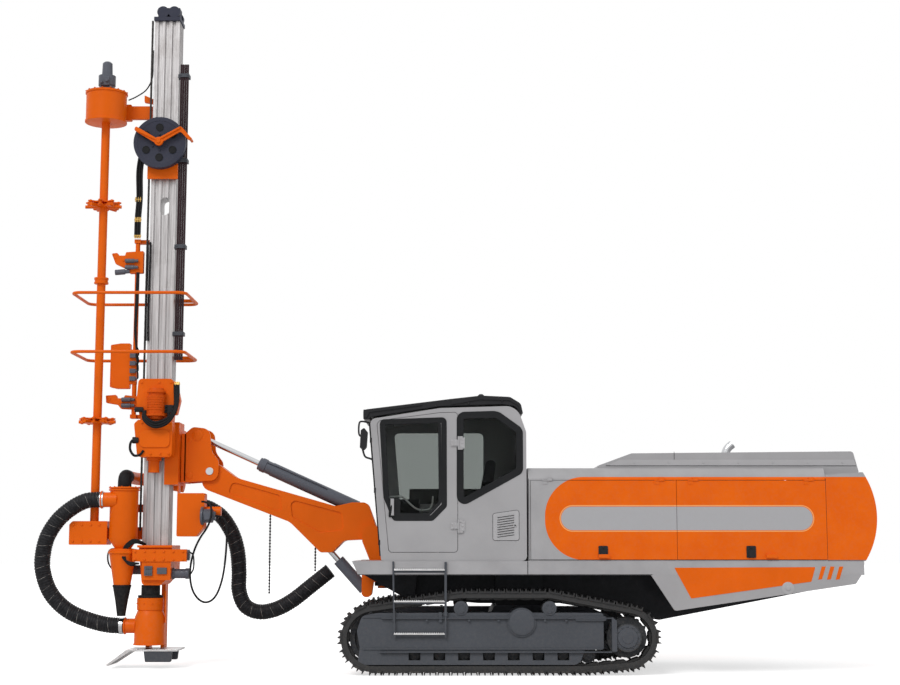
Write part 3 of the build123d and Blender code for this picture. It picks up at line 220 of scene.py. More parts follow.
lens.rough(lens.span(lens.noise(40, 3), 0.3, 0.7, 0.06, 0.2))
chain_steel = painted("chain_steel", (46, 43, 41), 0.45, 0.2, (200, 4), 0.001, 0.4, metallic=0.5)
band_rubber = painted("hose_band_rubber", (52, 36, 40), 0.6, 0.1, (180, 4), 0.0008, 0.4)
black = painted("black_metal", (34, 34, 37), 0.42, 0.12, (300, 3), 0.0005, 0.3, coat=0.1)
rubber = painted("black_rubber", (26, 26, 28), 0.62, 0.15, (180, 4), 0.0008, 0.4)
cylinder_grey = painted("cylinder_paint", (92, 95, 104), 0.4, 0.12, (160, 3), 0.0005, 0.25, coat=0.15)
plastic = painted("cab_plastic", (48, 49, 52), 0.6, 0.0, (500, 2), 0.0006, 0.5)

bright = Mat("bright_steel", linear(205, 206, 208), 0.16, metallic=1.0)
bright.rough(bright.span(bright.noise(90, 5), 0.3, 0.7, 0.1, 0.26))
bright.bump(bright.noise(200, 2), 0.0002, 0.15)
silver = Mat("silver_pipe", linear(214, 214, 216), 0.34, metallic=0.7)
silver.rough(silver.span(silver.noise(30, 5), 0.3, 0.7, 0.26, 0.44))
silver.colour(silver.tones(silver.noise(8, 5), 0.3, (196, 194, 192), 0.7, (226, 226, 228)))
brass = Mat("brass_fitting", linear(196, 160, 92), 0.3, metallic=1.0)
brass.colour(brass.tones(brass.noise(60, 4), 0.3, (170, 134, 70), 0.7, (212, 178, 110)))
brass.bump(brass.noise(240, 3), 0.0003, 0.2)

# Milled aluminium of the feed beam, with streaks along it and grime in patches
beam_metal = Mat("beam_aluminium", linear(186, 182, 182), 0.42, metallic=0.75)
streaks = beam_metal.noise(1, 6, 0.7, beam_metal.stretch((60, 60, 1.4)))
smears = beam_metal.noise(2.2, 7, 0.7)
metal_tone = beam_metal.steps(streaks, ((0.3, linear(150, 146, 146)), (0.55, linear(196, 193, 193)),
                                        (0.75, linear(214, 212, 212))))
grime = beam_metal.span(smears, 0.52, 0.75, 0, 0.5)
beam_metal.colour(beam_metal.mix(grime, metal_tone, linear(120, 110, 104)))
beam_metal.rough(beam_metal.span(streaks, 0.3, 0.7, 0.3, 0.55))
beam_metal.bump(streaks, 0.0006, 0.3)

# Window glass with a faint grey tint
glass = Mat("window_glass", linear(176, 180, 178), 0.02)
glass.shader.inputs["Transmission Weight"].default_value = 1.0
glass.shader.inputs["IOR"].default_value = 1.12
glass.rough(glass.span(glass.noise(5, 4), 0.4, 0.8, 0.0, 0.05))

seat_cloth = Mat("seat_cloth", linear(46, 46, 50), 0.85)
seat_cloth.shader.inputs["Sheen Weight"].default_value = 0.3
weave = seat_cloth.add("ShaderNodeTexChecker")
weave.inputs["Scale"].default_value = 420
seat_cloth.join(seat_cloth.place, weave.inputs["Vector"])
seat_cloth.colour(seat_cloth.tones(seat_cloth.noise(40, 5), 0.3, (36, 36, 40), 0.7, (56, 56, 61)))
seat_cloth.bump(weave.outputs["Fac"], 0.0006, 0.5)

# Suction hose: black rubber, and the paint of its pale spiral line
hose = Mat("suction_hose", linear(30, 30, 32), 0.5)
hose.colour(hose.tones(hose.noise(30, 5), 0.3, (20, 20, 22), 0.75, (44, 44, 47)))
hose.bump(hose.noise(90, 4), 0.002, 0.5)

hose_line = Mat("hose_line", linear(132, 128, 124), 0.6)
hose_line.colour(hose_line.tones(hose_line.noise(20, 4), 0.35, (84, 82, 80), 0.65, (150, 146, 142)))


def rounded_box(mat, x, z, x_low, x_high, z_low, z_high, radius, soft=0.003):
    """A mask that is 1 inside a rounded rectangle in x and z, and the distance to its edge."""
    def away(value, low, high):
        """How far a value lies past the straight part of a side."""
        middle = mat.math("ABSOLUTE", mat.math("SUBTRACT", value, (low + high) / 2))
        return mat.math("SUBTRACT", middle, (high - low) / 2 - radius)

    away_x, away_z = away(x, x_low, x_high), away(z, z_low, z_high)
    out_x = mat.math("MAXIMUM", away_x, 0.0)
    out_z = mat.math("MAXIMUM", away_z, 0.0)
    squares = mat.math("ADD", mat.math("MULTIPLY", out_x, out_x), mat.math("MULTIPLY", out_z, out_z))
    length = mat.math("SQRT", squares)
    inner = mat.math("MINIMUM", mat.math("MAXIMUM", away_x, away_z), 0.0)
    distance = mat.math("SUBTRACT", mat.math("ADD", length, inner), radius)
    return mat.span(distance, -soft / 2, soft / 2, 1.0, 0.0), distance


# Hood sides: grey panels, the orange field with a round front end, its bare grey band, and a painted
# highlight along the band's edge
hood_paint = Mat("hood_paint", linear(*ORANGE), 0.38, coat=0.03)
hood_x, hood_y, hood_z = hood_paint.axes()
field, field_edge = rounded_box(hood_paint, hood_x, hood_z, 1.208, 5.9, 1.352, 2.34, 0.47)
band, band_edge = rounded_box(hood_paint, hood_x, hood_z, 1.40, 4.405, 1.705, 1.985, 0.14)
# Painted highlight: a pale orange line just outside the grey band's edge
near_band = hood_paint.math("ABSOLUTE", hood_paint.math("SUBTRACT", band_edge, 0.012))
band_highlight = hood_paint.span(near_band, 0.004, 0.007, 1.0, 0.0)
hood_patches = hood_paint.noise(3.5, 6)
hood_orange = hood_paint.tones(hood_patches, 0.32, (229, 96, 0), 0.7, (236, 104, 0))
hood_grey = hood_paint.tones(hood_patches, 0.32, (162, 161, 163), 0.7, (172, 171, 173))
hood_colour = hood_paint.mix(field, hood_grey, hood_orange)
hood_colour = hood_paint.mix(hood_paint.math("MULTIPLY", band_highlight, 0.75), hood_colour,
                             linear(246, 190, 120))
hood_colour = hood_paint.mix(band, hood_colour, linear(172, 172, 175))
hood_dust = hood_paint.math("MULTIPLY", hood_paint.span(hood_paint.noise(26, 8, 0.7), 0.44, 0.72), 0.07)
hood_paint.colour(hood_paint.mix(hood_dust, hood_colour, linear(150, 143, 132)))
hood_paint.rough(hood_paint.span(hood_paint.noise(14, 5), 0.3, 0.7, 0.3, 0.44))
hood_paint.bump(hood_paint.noise(420, 2), 0.0004, 0.2)

# Platform: light grey along the deck, and painted shade, near black, below its edge
platform_paint = Mat("platform_paint", linear(*GREY), 0.42)
deck_x, deck_y, deck_z = platform_paint.axes()
deck_tone = platform_paint.tones(platform_paint.noise(3.5, 6), 0.32, (160, 159, 161), 0.7, (172, 171, 173))
# Painted shade: the belly below the deck's edge gets a near-black tone for the shade under the deck
belly_shade = platform_paint.tones(platform_paint.noise(6, 7, 0.7), 0.3, (24, 25, 28), 0.75, (46, 47, 51))
shade_below_deck = platform_paint.span(deck_z, 1.1755, 1.1765, 1.0, 0.0)
platform_paint.colour(platform_paint.mix(shade_below_deck, deck_tone, belly_shade))
platform_paint.bump(platform_paint.noise(90, 5), 0.0008, 0.25)

# Which paint each CAD piece gets
paint_rows = (
    (track_steel, "track_left track_right"),
    (chassis, "drive_sprockets idler_wheels track_rollers carrier_rollers"),
    (frame_dark, "track_frame_left track_frame_right undercarriage_axle engine_block compressor_block "
                 "step_ladder"),
    (platform_paint, "platform_frame"),
    (panel_grey, "rear_skirts roof_cowl cab_shell cab_door dust_collector"),
    (hood_paint, "hood_frame hood_door_front_left hood_door_rear_left hood_door_front_right "
                 "hood_door_rear_right rear_panel"),
    (silver, "exhaust_pipe foot_plate"),
    (glass, "cab_windows cab_door_window"),
    (black, "cab_roof_guard cab_mirror feed_chain"),
    (seat_cloth, "operator_seat"),
    (plastic, "control_console"),
    (orange, "boom_base boom_arm feed_bracket feed_cradle breakout_table suction_hood cyclone drive_box "
             "guard_hoops carousel_frame carousel_rotor gripper_arms gripper_brackets rotation_head "
             "reel_carriage"),
    (cylinder_grey, "dump_cylinder_barrel lift_cylinder_barrel"),
    (bright, "dump_cylinder_rod lift_cylinder_rod"),
    (beam_metal, "feed_beam"),
    (reel_metal, "feed_crown hose_reel"),
    (rubber, "feed_hoses"),
    (hose, "suction_hose boom_hose"),
)
node_paint = {name: paint for paint, names in paint_rows for name in names.split()}
for name, node in nodes.items():
    paint = node_paint[name].mat
    if node.data.materials:
        for place in range(len(node.data.materials)):
            node.data.materials[place] = paint
    else:
        node.data.materials.append(paint)


# Mesh pieces; lengths in millimetres unless said otherwise

FRONT = (-1, 0, 0)
REAR = (1, 0, 0)
LEFT = (0, -1, 0)
RIGHT = (0, 1, 0)
UP = (0, 0, 1)


class Piece:
    """A mesh piece built from bars, boxes and outlines; bevel is in metres, smooth an angle in degrees."""

    def __init__(self, name, mat, body, slot=None, bevel=0.0, smooth=40):
        self.name, self.mat, self.body, self.slot = name, mat, body, slot
        self.bevel, self.smooth = bevel, smooth
        self.verts, self.faces = [], []

    def grow(self, verts, faces):
        """Add points and the faces between them."""
        base = len(self.verts)
        self.verts += [tuple(value / 1000 for value in vert) for vert in verts]
        self.faces += [tuple(base + index for index in face) for face in faces]

    def box(self, x, y, z, turn=None):
        """A box between pairs of places; turn is (axis, degrees) about its own centre."""
        corners = [Vector((a, b, c)) for a in x for b in y for c in z]
        if turn:
            centre = sum(corners, Vector()) / 8
            spin = Matrix.Rotation(math.radians(turn[1]), 3, turn[0])
            corners = [spin @ (corner - centre) + centre for corner in corners]
        self.grow(corners,
                  [(0, 1, 3, 2), (4, 6, 7, 5), (0, 4, 5, 1), (2, 3, 7, 6), (0, 2, 6, 4), (1, 5, 7, 3)])

    def prism(self, outline, axis, low, high):
        """An outline of 2-D points pushed from low to high along an axis."""
        place = {
            "X": lambda p, d: (d, p[0], p[1]),
            "Y": lambda p, d: (p[0], d, p[1]),
            "Z": lambda p, d: (p[0], p[1], d),
        }[axis]
        count = len(outline)
        verts = [place(p, low) for p in outline] + [place(p, high) for p in outline]
        faces = [tuple(range(count)), tuple(range(2 * count - 1, count - 1, -1))]
        faces += [(i, i + count, (i + 1) % count + count, (i + 1) % count) for i in range(count)]
        self.grow(verts, faces)

    def slab(self, rows, y):
        """An outline with rounded corners, rows (x, z, radius), between two places across the machine."""
        self.prism(fillet(rows), "Y", *y)

    def panel(self, x, z, radius, y):
        """A rectangle with rounded corners, between two places across the machine."""
        (x_low, x_high), (z_low, z_high) = x, z
        self.slab(((x_low, z_low, radius), (x_high, z_low, radius), (x_high, z_high, radius),
                   (x_low, z_high, radius)), y)

    def rings(self, centres, radii, normals, sides=16, caps=True):
        """A skin over rings of points, each ring square to its normal."""
        verts, faces = [], []
        ref = None
        for centre, radius, normal in zip(centres, radii, normals):
            normal = Vector(normal).normalized()
            if ref is None:
                ref = normal.orthogonal().normalized()
            ref = (ref - normal * ref.dot(normal)).normalized()
            side = normal.cross(ref)
            for step in range(sides):
                turn = 2 * math.pi * step / sides
                verts.append(Vector(centre) + (ref * math.cos(turn) + side * math.sin(turn)) * radius)
        count = len(centres)
        for ring in range(count - 1):
            after = ring + 1
            for step in range(sides):
                nearby = (step + 1) % sides
                faces.append((ring * sides + step, ring * sides + nearby, after * sides + nearby,
                              after * sides + step))
        if caps:
            faces.append(tuple(range(sides - 1, -1, -1)))
            faces.append(tuple((count - 1) * sides + step for step in range(sides)))
        self.grow(verts, faces)

    def rod(self, start, end, radius, sides=20, chamfer=0.0):
        """A round bar from start to end."""
        start, end = Vector(start), Vector(end)
        way = (end - start).normalized()
        centres, radii = [start, end], [radius, radius]
        if chamfer:
            centres[1:1] = [start + way * chamfer, end - way * chamfer]
            radii = [radius - chamfer, radius, radius, radius - chamfer]
        self.rings(centres, radii, [way] * len(centres), sides)

    def lathe(self, start, way, profile, sides=28):
        """Rings along a direction; each profile row is (distance, radius)."""
        way = Vector(way).normalized()
        self.rings([Vector(start) + way * far for far, radius in profile],
                   [radius for far, radius in profile], [way] * len(profile), sides)

    def tube(self, points, radius, sides=12, steps=8):
        """A round bar along a smooth line through the points."""
        line = smooth_line([Vector(point) for point in points], steps)
        count = len(line)
        normals = [line[min(index + 1, count - 1)] - line[max(index - 1, 0)] for index in range(count)]
        self.rings(line, [radius] * count, normals, sides)

    def bolt(self, centre, way, size=12, height=9):
        """A hexagonal head on a washer, standing out along a direction."""
        way = Vector(way).normalized()
        centre = Vector(centre)
        self.rings([centre, centre + way * height * 0.25], [size * 1.35] * 2, [way] * 2, 14)
        self.rings([centre, centre + way * height, centre + way * height * 1.15],
                   [size, size, size * 0.8], [way] * 3, 6)

    def bolt_ring(self, centre, way, radius, count, size, height, start=0.0):
        """Bolts round a centre, all along one of the directions."""
        along = max(range(3), key=lambda axis: abs(way[axis]))
        first, second = [axis for axis in range(3) if axis != along]
        for turn in range(count):
            angle = 2 * math.pi * turn / count + start
            spot = list(centre)
            spot[first] += radius * math.cos(angle)
            spot[second] += radius * math.sin(angle)
            self.bolt(spot, way, size, height)

    def done(self):
        """Make the mesh, with its paint and edges, on its body."""
        mesh = bpy.data.meshes.new(self.name)
        mesh.from_pydata(self.verts, [], self.faces)
        mesh.validate()
        shape = bmesh.new()
        shape.from_mesh(mesh)
        bmesh.ops.recalc_face_normals(shape, faces=shape.faces)
        shape.to_mesh(mesh)
        shape.free()
        piece = bpy.data.objects.new(self.name, mesh)
        scene.collection.objects.link(piece)
        mesh.materials.append(self.mat.mat)
        if self.bevel:
            edge = piece.modifiers.new("edge", "BEVEL")
            edge.width = self.bevel
            edge.segments = 2
            edge.limit_method = "ANGLE"
            edge.angle_limit = math.radians(40)
        if self.smooth:
            mesh.shade_smooth()
            mesh.set_sharp_from_angle(angle=math.radians(self.smooth))
        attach(piece, self.body)
        return piece


def smooth_line(line, steps):
    """Points of a Catmull-Rom line through the given ones."""
    count = len(line)
    made = []
    for index in range(count - 1):
        b, c = line[index], line[index + 1]
        a = line[index - 1] if index else b * 2 - c
        d = line[index + 2] if index + 2 < count else c * 2 - b
        for step in range(steps):
            t = step / steps
            made.append(0.5 * ((2 * b) + (c - a) * t + (2 * a - 5 * b + 4 * c - d) * t * t
                               + (3 * b - a - 3 * c + d) * t * t * t))
    made.append(line[-1])
    return made


def fillet(rows, steps=6):
    """Round the corners of an outline whose rows are (across, up, radius)."""
    points = []
    for index, (across, up, radius) in enumerate(rows):
        corner = Vector((across, up))
        if not radius:
            points.append((across, up))
            continue
        before = Vector(rows[index - 1][:2]) - corner
        after = Vector(rows[(index + 1) % len(rows)][:2]) - corner
        half = before.angle(after) / 2
        cut = min(radius / math.tan(half), before.length * 0.49, after.length * 0.49)
        real = cut * math.tan(half)
        start = before.normalized() * cut
        middle = (before.normalized() + after.normalized()).normalized() * (real / math.sin(half))
        end = after.normalized() * cut
        first = math.atan2(start.y - middle.y, start.x - middle.x)
        last = math.atan2(end.y - middle.y, end.x - middle.x)
        turn = (last - first + math.pi) % (2 * math.pi) - math.pi
        for step in range(steps + 1):
            angle = first + turn * step / steps
            points.append((corner.x + middle.x + real * math.cos(angle),
                           corner.y + middle.y + real * math.sin(angle)))
    return points


# Tracks: the same wheels as in the CAD source, shoes with three bars, links and pins

track_wheels = (
    # x, z, radius
    (-830, 430, 290),
    (1708.5, 235, 95),
    (2177, 440, 260),
    (1254, 785, 90),
    (204, 785, 90),
)
shoe_count = 48
shoe_y = (810, 1210)
shoe_top = 138
grouser_low = 107
pin_out = 42


def track_spans():
    """The loop's arcs and straight runs, as its tangents give them."""
    normals = []
    for index, (x, z, radius) in enumerate(track_wheels):
        next_x, next_z, next_radius = track_wheels[(index + 1) % len(track_wheels)]
        away = math.hypot(next_x - x, next_z - z)
        slope = math.atan2(next_z - z, next_x - x)
        normals.append(slope - math.pi / 2 + math.asin((radius - next_radius) / away))
    spans = []
    for index, (x, z, radius) in enumerate(track_wheels):
        start = normals[index - 1]
        turn = (normals[index] - start) % (2 * math.pi)
        spans.append((radius * turn, "arc", Vector((x, z)), radius, start))
        next_x, next_z, next_radius = track_wheels[(index + 1) % len(track_wheels)]
        out = Vector((math.cos(normals[index]), math.sin(normals[index])))
        first = Vector((x, z)) + out * radius
        last = Vector((next_x, next_z)) + out * next_radius
        spans.append(((last - first).length, "run", first, last, out))
    return spans


def track_place(spans, far):
    """The place at a distance along the loop, and the way out of it."""
    for span in spans:
        if far <= span[0]:
            break
        far -= span[0]
    if span[1] == "run":
        length, kind, first, last, out = span
        return first + (last - first) * (far / length), out
    length, kind, centre, radius, start = span
    angle = start + far / radius
    out = Vector((math.cos(angle), math.sin(angle)))
    return centre + out * radius, out


def make_track(side, name):
    """One track: shoes with their bolts, links with their pins, and the band behind them."""
    def across_y(near, far):
        return tuple(sorted((side * near, side * far)))

    spans = track_spans()
    total = sum(span[0] for span in spans)
    pitch = total / shoe_count
    half = pitch / 2 - 7
    shoe_profile = ((-half, 86), (-half, shoe_top), (-half + 9, shoe_top), (-half + 19, grouser_low + 2),
                    (-11, grouser_low), (-5, shoe_top), (5, shoe_top), (11, grouser_low),
                    (half - 19, grouser_low + 2), (half - 9, shoe_top), (half, shoe_top), (half, 86))
    link_profile = [(pitch * 0.5 * across, up) for across,
                    up in ((-1.22, 26), (-1.22, 58), (-1.08, 78), (-0.7, 86), (0.7, 86), (0.86, 78),
                           (0.86, 20), (0.62, 2), (-0.55, 2), (-0.8, 12), (-1.08, 10))]
    shoes = Piece(name + "_shoes", track_steel, "carrier", "track_steel", bevel=0.002)
    links = Piece(name + "_links", link_steel, "carrier", "track_steel", bevel=0.002)

    def laid(profile, centre, out):
        along = Vector((-out.y, out.x))
        placed = [centre + along * across + out * up for across, up in profile]
        return [(point.x, max(point.y, 0)) for point in placed]

    for shoe in range(shoe_count):
        centre, out = track_place(spans, pitch * (shoe + 0.5))
        shoes.prism(laid(shoe_profile, centre, out), "Y", *across_y(*shoe_y))
        for low, high in ((914, 944), (1076, 1106)):
            links.prism(laid(link_profile, centre, out), "Y", *across_y(low, high))
        joint, outward = track_place(spans, pitch * shoe)
        pin_x, pin_z = joint.x + outward.x * pin_out, joint.y + outward.y * pin_out
        links.rod((pin_x, side * 902, pin_z), (pin_x, side * 1118, pin_z), 20, 12, 3)
        along = Vector((-out.y, out.x))
        for across in (-34, 34):
            for y in (930, 1090):
                spot = centre + along * across + out * 108
                shoes.bolt((spot.x, side * y, spot.y), (out.x, 0, out.y), 13, 10)
    # Band that closes the loop behind the shoes
    steps = shoe_count * 4
    for y_low, y_high in ((880, 910), (1120, 1196)):
        verts = []
        for step in range(steps):
            centre, out = track_place(spans, total * step / steps)
            for y in across_y(y_low, y_high):
                for up in (30, 100):
                    spot = centre + out * up
                    verts.append((spot.x, y, max(spot.y, 30)))
        faces = []
        for step in range(steps):
            a, b = 4 * step, 4 * ((step + 1) % steps)
            faces += [(a, b, b + 1, a + 1), (a + 2, a + 3, b + 3, b + 2), (a, a + 2, b + 2, b),
                      (a + 1, b + 1, b + 3, a + 3)]
        links.grow(verts, faces)
    piece = shoes.done()
    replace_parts(piece, name)
    links.done()


make_track(-1, "track_left")
make_track(1, "track_right")

# Track frames: ledge, flange, cover plate, bracket and bolted caps

def track_frame_details(side, name):
    """What is fixed on the outside of one track frame."""
    def across_y(near, far):
        return tuple(sorted((side * near, side * far)))

    outward = (0, side, 0)
    details = Piece("frame_details_" + name, frame_dark, "carrier", "dark_paint", bevel=0.003)
    details.box((-740, 2010), across_y(1196, 1224), (664, 676))
    details.box((-760, 1990), across_y(1196, 1226), (268, 282))
    details.panel((1560, 1925), (640, 690), 14, across_y(1190, 1216))
    details.slab(((1990, 280, 10), (2050, 280, 10), (2050, 640, 30), (1990, 690, 10)), across_y(1150, 1222))
    details.panel((-60, -20), (620, 740), 10, across_y(1150, 1210))
    details.lathe((924, side * 1200, 620), outward, ((0, 150), (22, 150), (26, 140), (30, 120)), 44)
    details.lathe((2177, side * 1196, 440), outward,
                  ((0, 150), (10, 150), (14, 120), (30, 116), (34, 70), (40, 66)), 44)
    details.bolt_ring((2177, side * 1208, 440), outward, 132, 12, 10, 8)
    for x in (204, 1254):
        details.lathe((x, side * 1180, 785), outward, ((0, 84), (16, 84), (20, 60), (26, 58)), 32)
        details.bolt_ring((x, side * 1206, 785), outward, 40, 6, 8, 6)
    for x in (-600, -200, 300, 650, 1200, 1450):
        details.bolt((x, side * 1212, 640), outward, 12, 9)
    details.done()


track_frame_details(-1, "left")
track_frame_details(1, "right")


# Ribbed suction hoses

suction_radius = 101


def ribbed(name, points, radius, body, replaced):
    """A hose with a rib every 34 mm, and the pale line that winds round it."""
    line = smooth_line([Vector(point) for point in points], 24)
    far = [0.0]
    for before, after in zip(line, line[1:]):
        far.append(far[-1] + (after - before).length)
    pitch = 34.0
    count = int(far[-1] / (pitch / 4))
    centres, normals = [], []
    place = 0
    for step in range(count + 1):
        want = far[-1] * step / count
        while place < len(far) - 2 and far[place + 1] < want:
            place += 1
        share = (want - far[place]) / max(far[place + 1] - far[place], 1e-6)
        centres.append(line[place].lerp(line[place + 1], share))
        normals.append(line[place + 1] - line[place])
    radii = [radius - (0, 3, 6, 3)[step % 4] for step in range(count + 1)]
    piece = Piece(name, hose, body, "hose_rubber", smooth=60)
    piece.rings(centres, radii, normals, 32)
    made = piece.done()
    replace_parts(made, replaced)
    thread = Piece(name + "_line", hose_line, body, "hose_rubber", smooth=0)
    ref = Vector(normals[0]).orthogonal().normalized()
    spiral = []
    for step, (centre, normal) in enumerate(zip(centres, normals)):
        normal = Vector(normal).normalized()
        ref = (ref - normal * ref.dot(normal)).normalized()
        other = normal.cross(ref)
        turn = 2 * math.pi * step / 16
        spiral.append(centre + (ref * math.cos(turn) + other * math.sin(turn)) * (radius - 4))
    thread.tube(spiral, 3.2, 6, 3)
    thread.done()


loop_points = ((-4346, -125, 2100), (-4530, -125, 2085), (-4720, -122, 1985), (-4890, -112, 1830),
               (-5020, -95, 1610), (-5072, -70, 1340), (-5050, -45, 1140), (-4975, -18, 945),
               (-4850, 8, 790), (-4690, 30, 675), (-4480, 46, 590), (-4260, 50, 535), (-4046, 50, 520))
ribbed("loop_hose", loop_points, suction_radius, "feed", "suction_hose")
boom_hose_points = (
    (-3240, 790, 2060), (-3080, 790, 2000), (-2930, 790, 1890), (-2800, 790, 1690), (-2725, 790, 1450),
    (-2700, 790, 1180), (-2695, 790, 940), (-2610, 790, 745), (-2430, 790, 665), (-2210, 790, 700),
    (-1990, 790, 815), (-1740, 790, 1010), (-1500, 790, 1200),
)
ribbed("hanging_hose", boom_hose_points, suction_radius, "boom", "boom_hose")


def clamp(piece, centre, way, radius, width=44, thick=8):
    """A hose clamp with its screw."""
    way = Vector(way).normalized()
    centre = Vector(centre)
    piece.rings([centre - way * width / 2, centre + way * width / 2], [radius + thick] * 2, [way] * 2, 32)
    side = way.orthogonal().normalized()
    piece.rod(centre + side * (radius + thick) - way * 10, centre + side * (radius + thick) + way * 10, 9,
              10)


clamps = Piece("hose_clamps", bright, "feed", "bright_steel")
clamp(clamps, (-4322, -125, 2100), REAR, 96)
clamp(clamps, (-4072, 50, 520), REAR, 96)
clamps.done()

# Boom arm with its recessed panels

boom_rows = ((-874, 1610, 80), (-874, 1760, 60), (-993, 2078, 80), (-1193, 2078, 80), (-1400, 2030, 80),
             (-2690, 2395, 260), (-2956, 2592, 80), (-3131, 2537, 90), (-3131, 2262, 130),
             (-1990, 1826, 220), (-1591, 1437, 60), (-1441, 1437, 70), (-1290, 1590, 100))
boom_panels = (
    ((-2790, 2190, 50), (-2745, 2345, 60), (-2120, 2170, 60), (-2080, 1935, 50)),
    ((-1960, 1885, 50), (-1990, 2120, 60), (-1320, 1945, 60), (-1290, 1720, 60), (-1600, 1690, 60)),
)


def cut(piece, shapes):
    """Take prisms out of a piece's mesh for good."""
    tool_mesh = bpy.data.meshes.new("tool")
    tool = bpy.data.objects.new("tool", tool_mesh)
    scene.collection.objects.link(tool)
    verts, faces = [], []
    for outline, axis, low, high in shapes:
        shape = Piece("tool", orange, "carrier")
        shape.prism(outline, axis, low, high)
        base = len(verts)
        verts += shape.verts
        faces += [tuple(base + index for index in face) for face in shape.faces]
    tool_mesh.from_pydata(verts, [], faces)
    shape = bmesh.new()
    shape.from_mesh(tool_mesh)
    bmesh.ops.recalc_face_normals(shape, faces=shape.faces)
    shape.to_mesh(tool_mesh)
    shape.free()
    change = piece.modifiers.new("cut", "BOOLEAN")
    change.object = tool
    change.operation = "DIFFERENCE"
    change.solver = "EXACT"
    piece.modifiers.move(len(piece.modifiers) - 1, 0)
    bpy.context.view_layer.update()
    saved = [modifier for modifier in piece.modifiers if modifier.name != "cut"]
    for modifier in saved:
        modifier.show_viewport = False
    graph = bpy.context.evaluated_depsgraph_get()
    mesh = bpy.data.meshes.new_from_object(piece.evaluated_get(graph))
    piece.modifiers.remove(piece.modifiers["cut"])
    for modifier in saved:
        modifier.show_viewport = True
    piece.data = mesh
    mesh.shade_smooth()
    mesh.set_sharp_from_angle(angle=math.radians(40))
    bpy.data.objects.remove(tool)


boom = Piece("boom_shell", orange, "boom", "orange_paint", bevel=0.006)
boom.prism(fillet(boom_rows, 8), "Y", 280, 620)
boom_made = boom.done()
cuts = [(fillet(panel), "Y", low, high) for panel in boom_panels for low, high in ((270, 296), (604, 630))]
dump_slot = ((-1420, 1830, 10), (-1960, 2020, 10), (-1960, 2290, 10), (-900, 2290, 10), (-900, 1830, 10))
lift_slot = ((-1720, 1350, 10), (-1720, 1660, 10), (-1350, 1660, 10), (-1350, 1350, 10))
cuts += [(fillet(dump_slot), "Y", 350, 550), (fillet(lift_slot), "Y", 368, 532)]
cut(boom_made, cuts)
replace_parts(boom_made, "boom_arm")
fittings = Piece("boom_fittings", orange, "boom", "orange_paint", bevel=0.003)
for y, way in ((236, RIGHT), (664, LEFT)):
    fittings.lathe((-3031, y, 2477), way, ((0, 74), (8, 92), (44, 96)), 32)
fittings.lathe((-964, 262, 1700), RIGHT, ((0, 60), (10, 80), (18, 84)), 32)
fittings.done()
hangers = Piece("hose_hangers", black, "boom", "black_metal", bevel=0.002)
for x, z, foot in ((-2300, 2150, 900), (-1700, 1880, 1190)):
    hangers.box((x - 22, x + 22), (604, 806), (z - 16, z + 16))
    hangers.rod((x, 790, z), (x, 790, foot), 7, 10)
    for step in range(int((z - foot) / 40)):
        hangers.rod((x, 790, foot + 40 * step), (x, 790, foot + 40 * step + 24), 13, 10, 4)
hangers.done()
pins = Piece("boom_pins", bright, "boom", "bright_steel")
pins.rod((-3031, 226, 2477), (-3031, 240, 2477), 50, 28, 3)
pins.rod((-3031, 660, 2477), (-3031, 674, 2477), 50, 28, 3)
pins.done()

# Bracket between boom and feed
bracket_rows = (
    (-2921, 2357, 110), (-2911, 2607, 110), (-3012, 2740, 150), (-3037, 3025, 110), (-3257, 3050, 80),
    (-3360, 2960, 40), (-3360, 2330, 40), (-3161, 2347, 110),
)
bracket = Piece("bracket_cheeks", orange, "feed_bracket", "orange_paint", bevel=0.005)
for low, high in ((234, 274), (626, 666)):
    bracket.prism(fillet(bracket_rows, 8), "Y", low, high)
for x, z, radius in ((-3197, 2940, 70), (-3290, 2420, 46), (-3290, 2880, 30)):
    bracket.lathe((x, 226, z), RIGHT, ((0, radius - 8), (4, radius), (12, radius)), 28)
bracket.box((-3400, -3340), (234, 666), (2330, 2960))
bracket.rod((-3410, 450, 2700), (-3340, 450, 2700), 180, 40)
bracket.bolt_ring((-3340, 450, 2700), REAR, 150, 16, 14, 12)
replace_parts(bracket.done(), "feed_bracket")

# Rotation head: gearbox, housing and the motor that stands in front
drill_x, drill_y = -3716, 50
head = Piece("head_gearbox", orange, "rotation_head", "orange_paint", bevel=0.006)
head.slab(((-3890, 2640, 40), (-3455, 2640, 40), (-3450, 3050, 40), (-3470, 3110, 20), (-3890, 3110, 20),
           (-3940, 3060, 40)), (-170, 62))
head.slab(((-3868, 3100, 0), (-3462, 3100, 0), (-3450, 3364, 40), (-3462, 3640, 50), (-3905, 3640, 50),
           (-3926, 3364, 40)), (-120, 62))
head.slab(((-3480, 3180, 0), (-3412, 3180, 20), (-3372, 3364, 40), (-3424, 3600, 40), (-3480, 3600, 0)),
          (-100, 20))
head.box((-3800, -3640), (50, 70), (2670, 2810))
head.box((-3800, -3640), (50, 70), (3440, 3580))
head.lathe((drill_x, drill_y, 2450), UP, ((0, 70), (150, 70), (152, 96), (200, 96)), 36)
head.panel((-3860, -3480), (2760, 2980), 60, (-186, -165))
for places_x, places_z, y, size, height in (
        ((-3840, -3720, -3600, -3490), (2680, 3070), -170, 15, 12),
        ((-3860, -3640, -3490), (3180, 3590), -120, 13, 10)):
    for x in places_x:
        for z in places_z:
            head.bolt((x, y, z), LEFT, size, height)
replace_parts(head.done(), "rotation_head")
motor = Piece("head_motor", orange_dark, "rotation_head", "orange_paint", bevel=0.002)
motor.lathe((-3665, -160, 3118), UP,
            ((0, 78), (36, 78), (38, 128), (66, 128), (70, 108), (300, 112), (304, 98), (330, 98),
             (334, 118), (352, 118), (366, 96), (394, 88)), 36)
motor.bolt_ring((-3665, -160, 3184), UP, 116, 8, 11, 9)
for z in range(3230, 3391, 32):
    motor.lathe((-3665, -160, z), UP, ((0, 110), (3, 116), (11, 116), (14, 110)), 36)
motor.done()
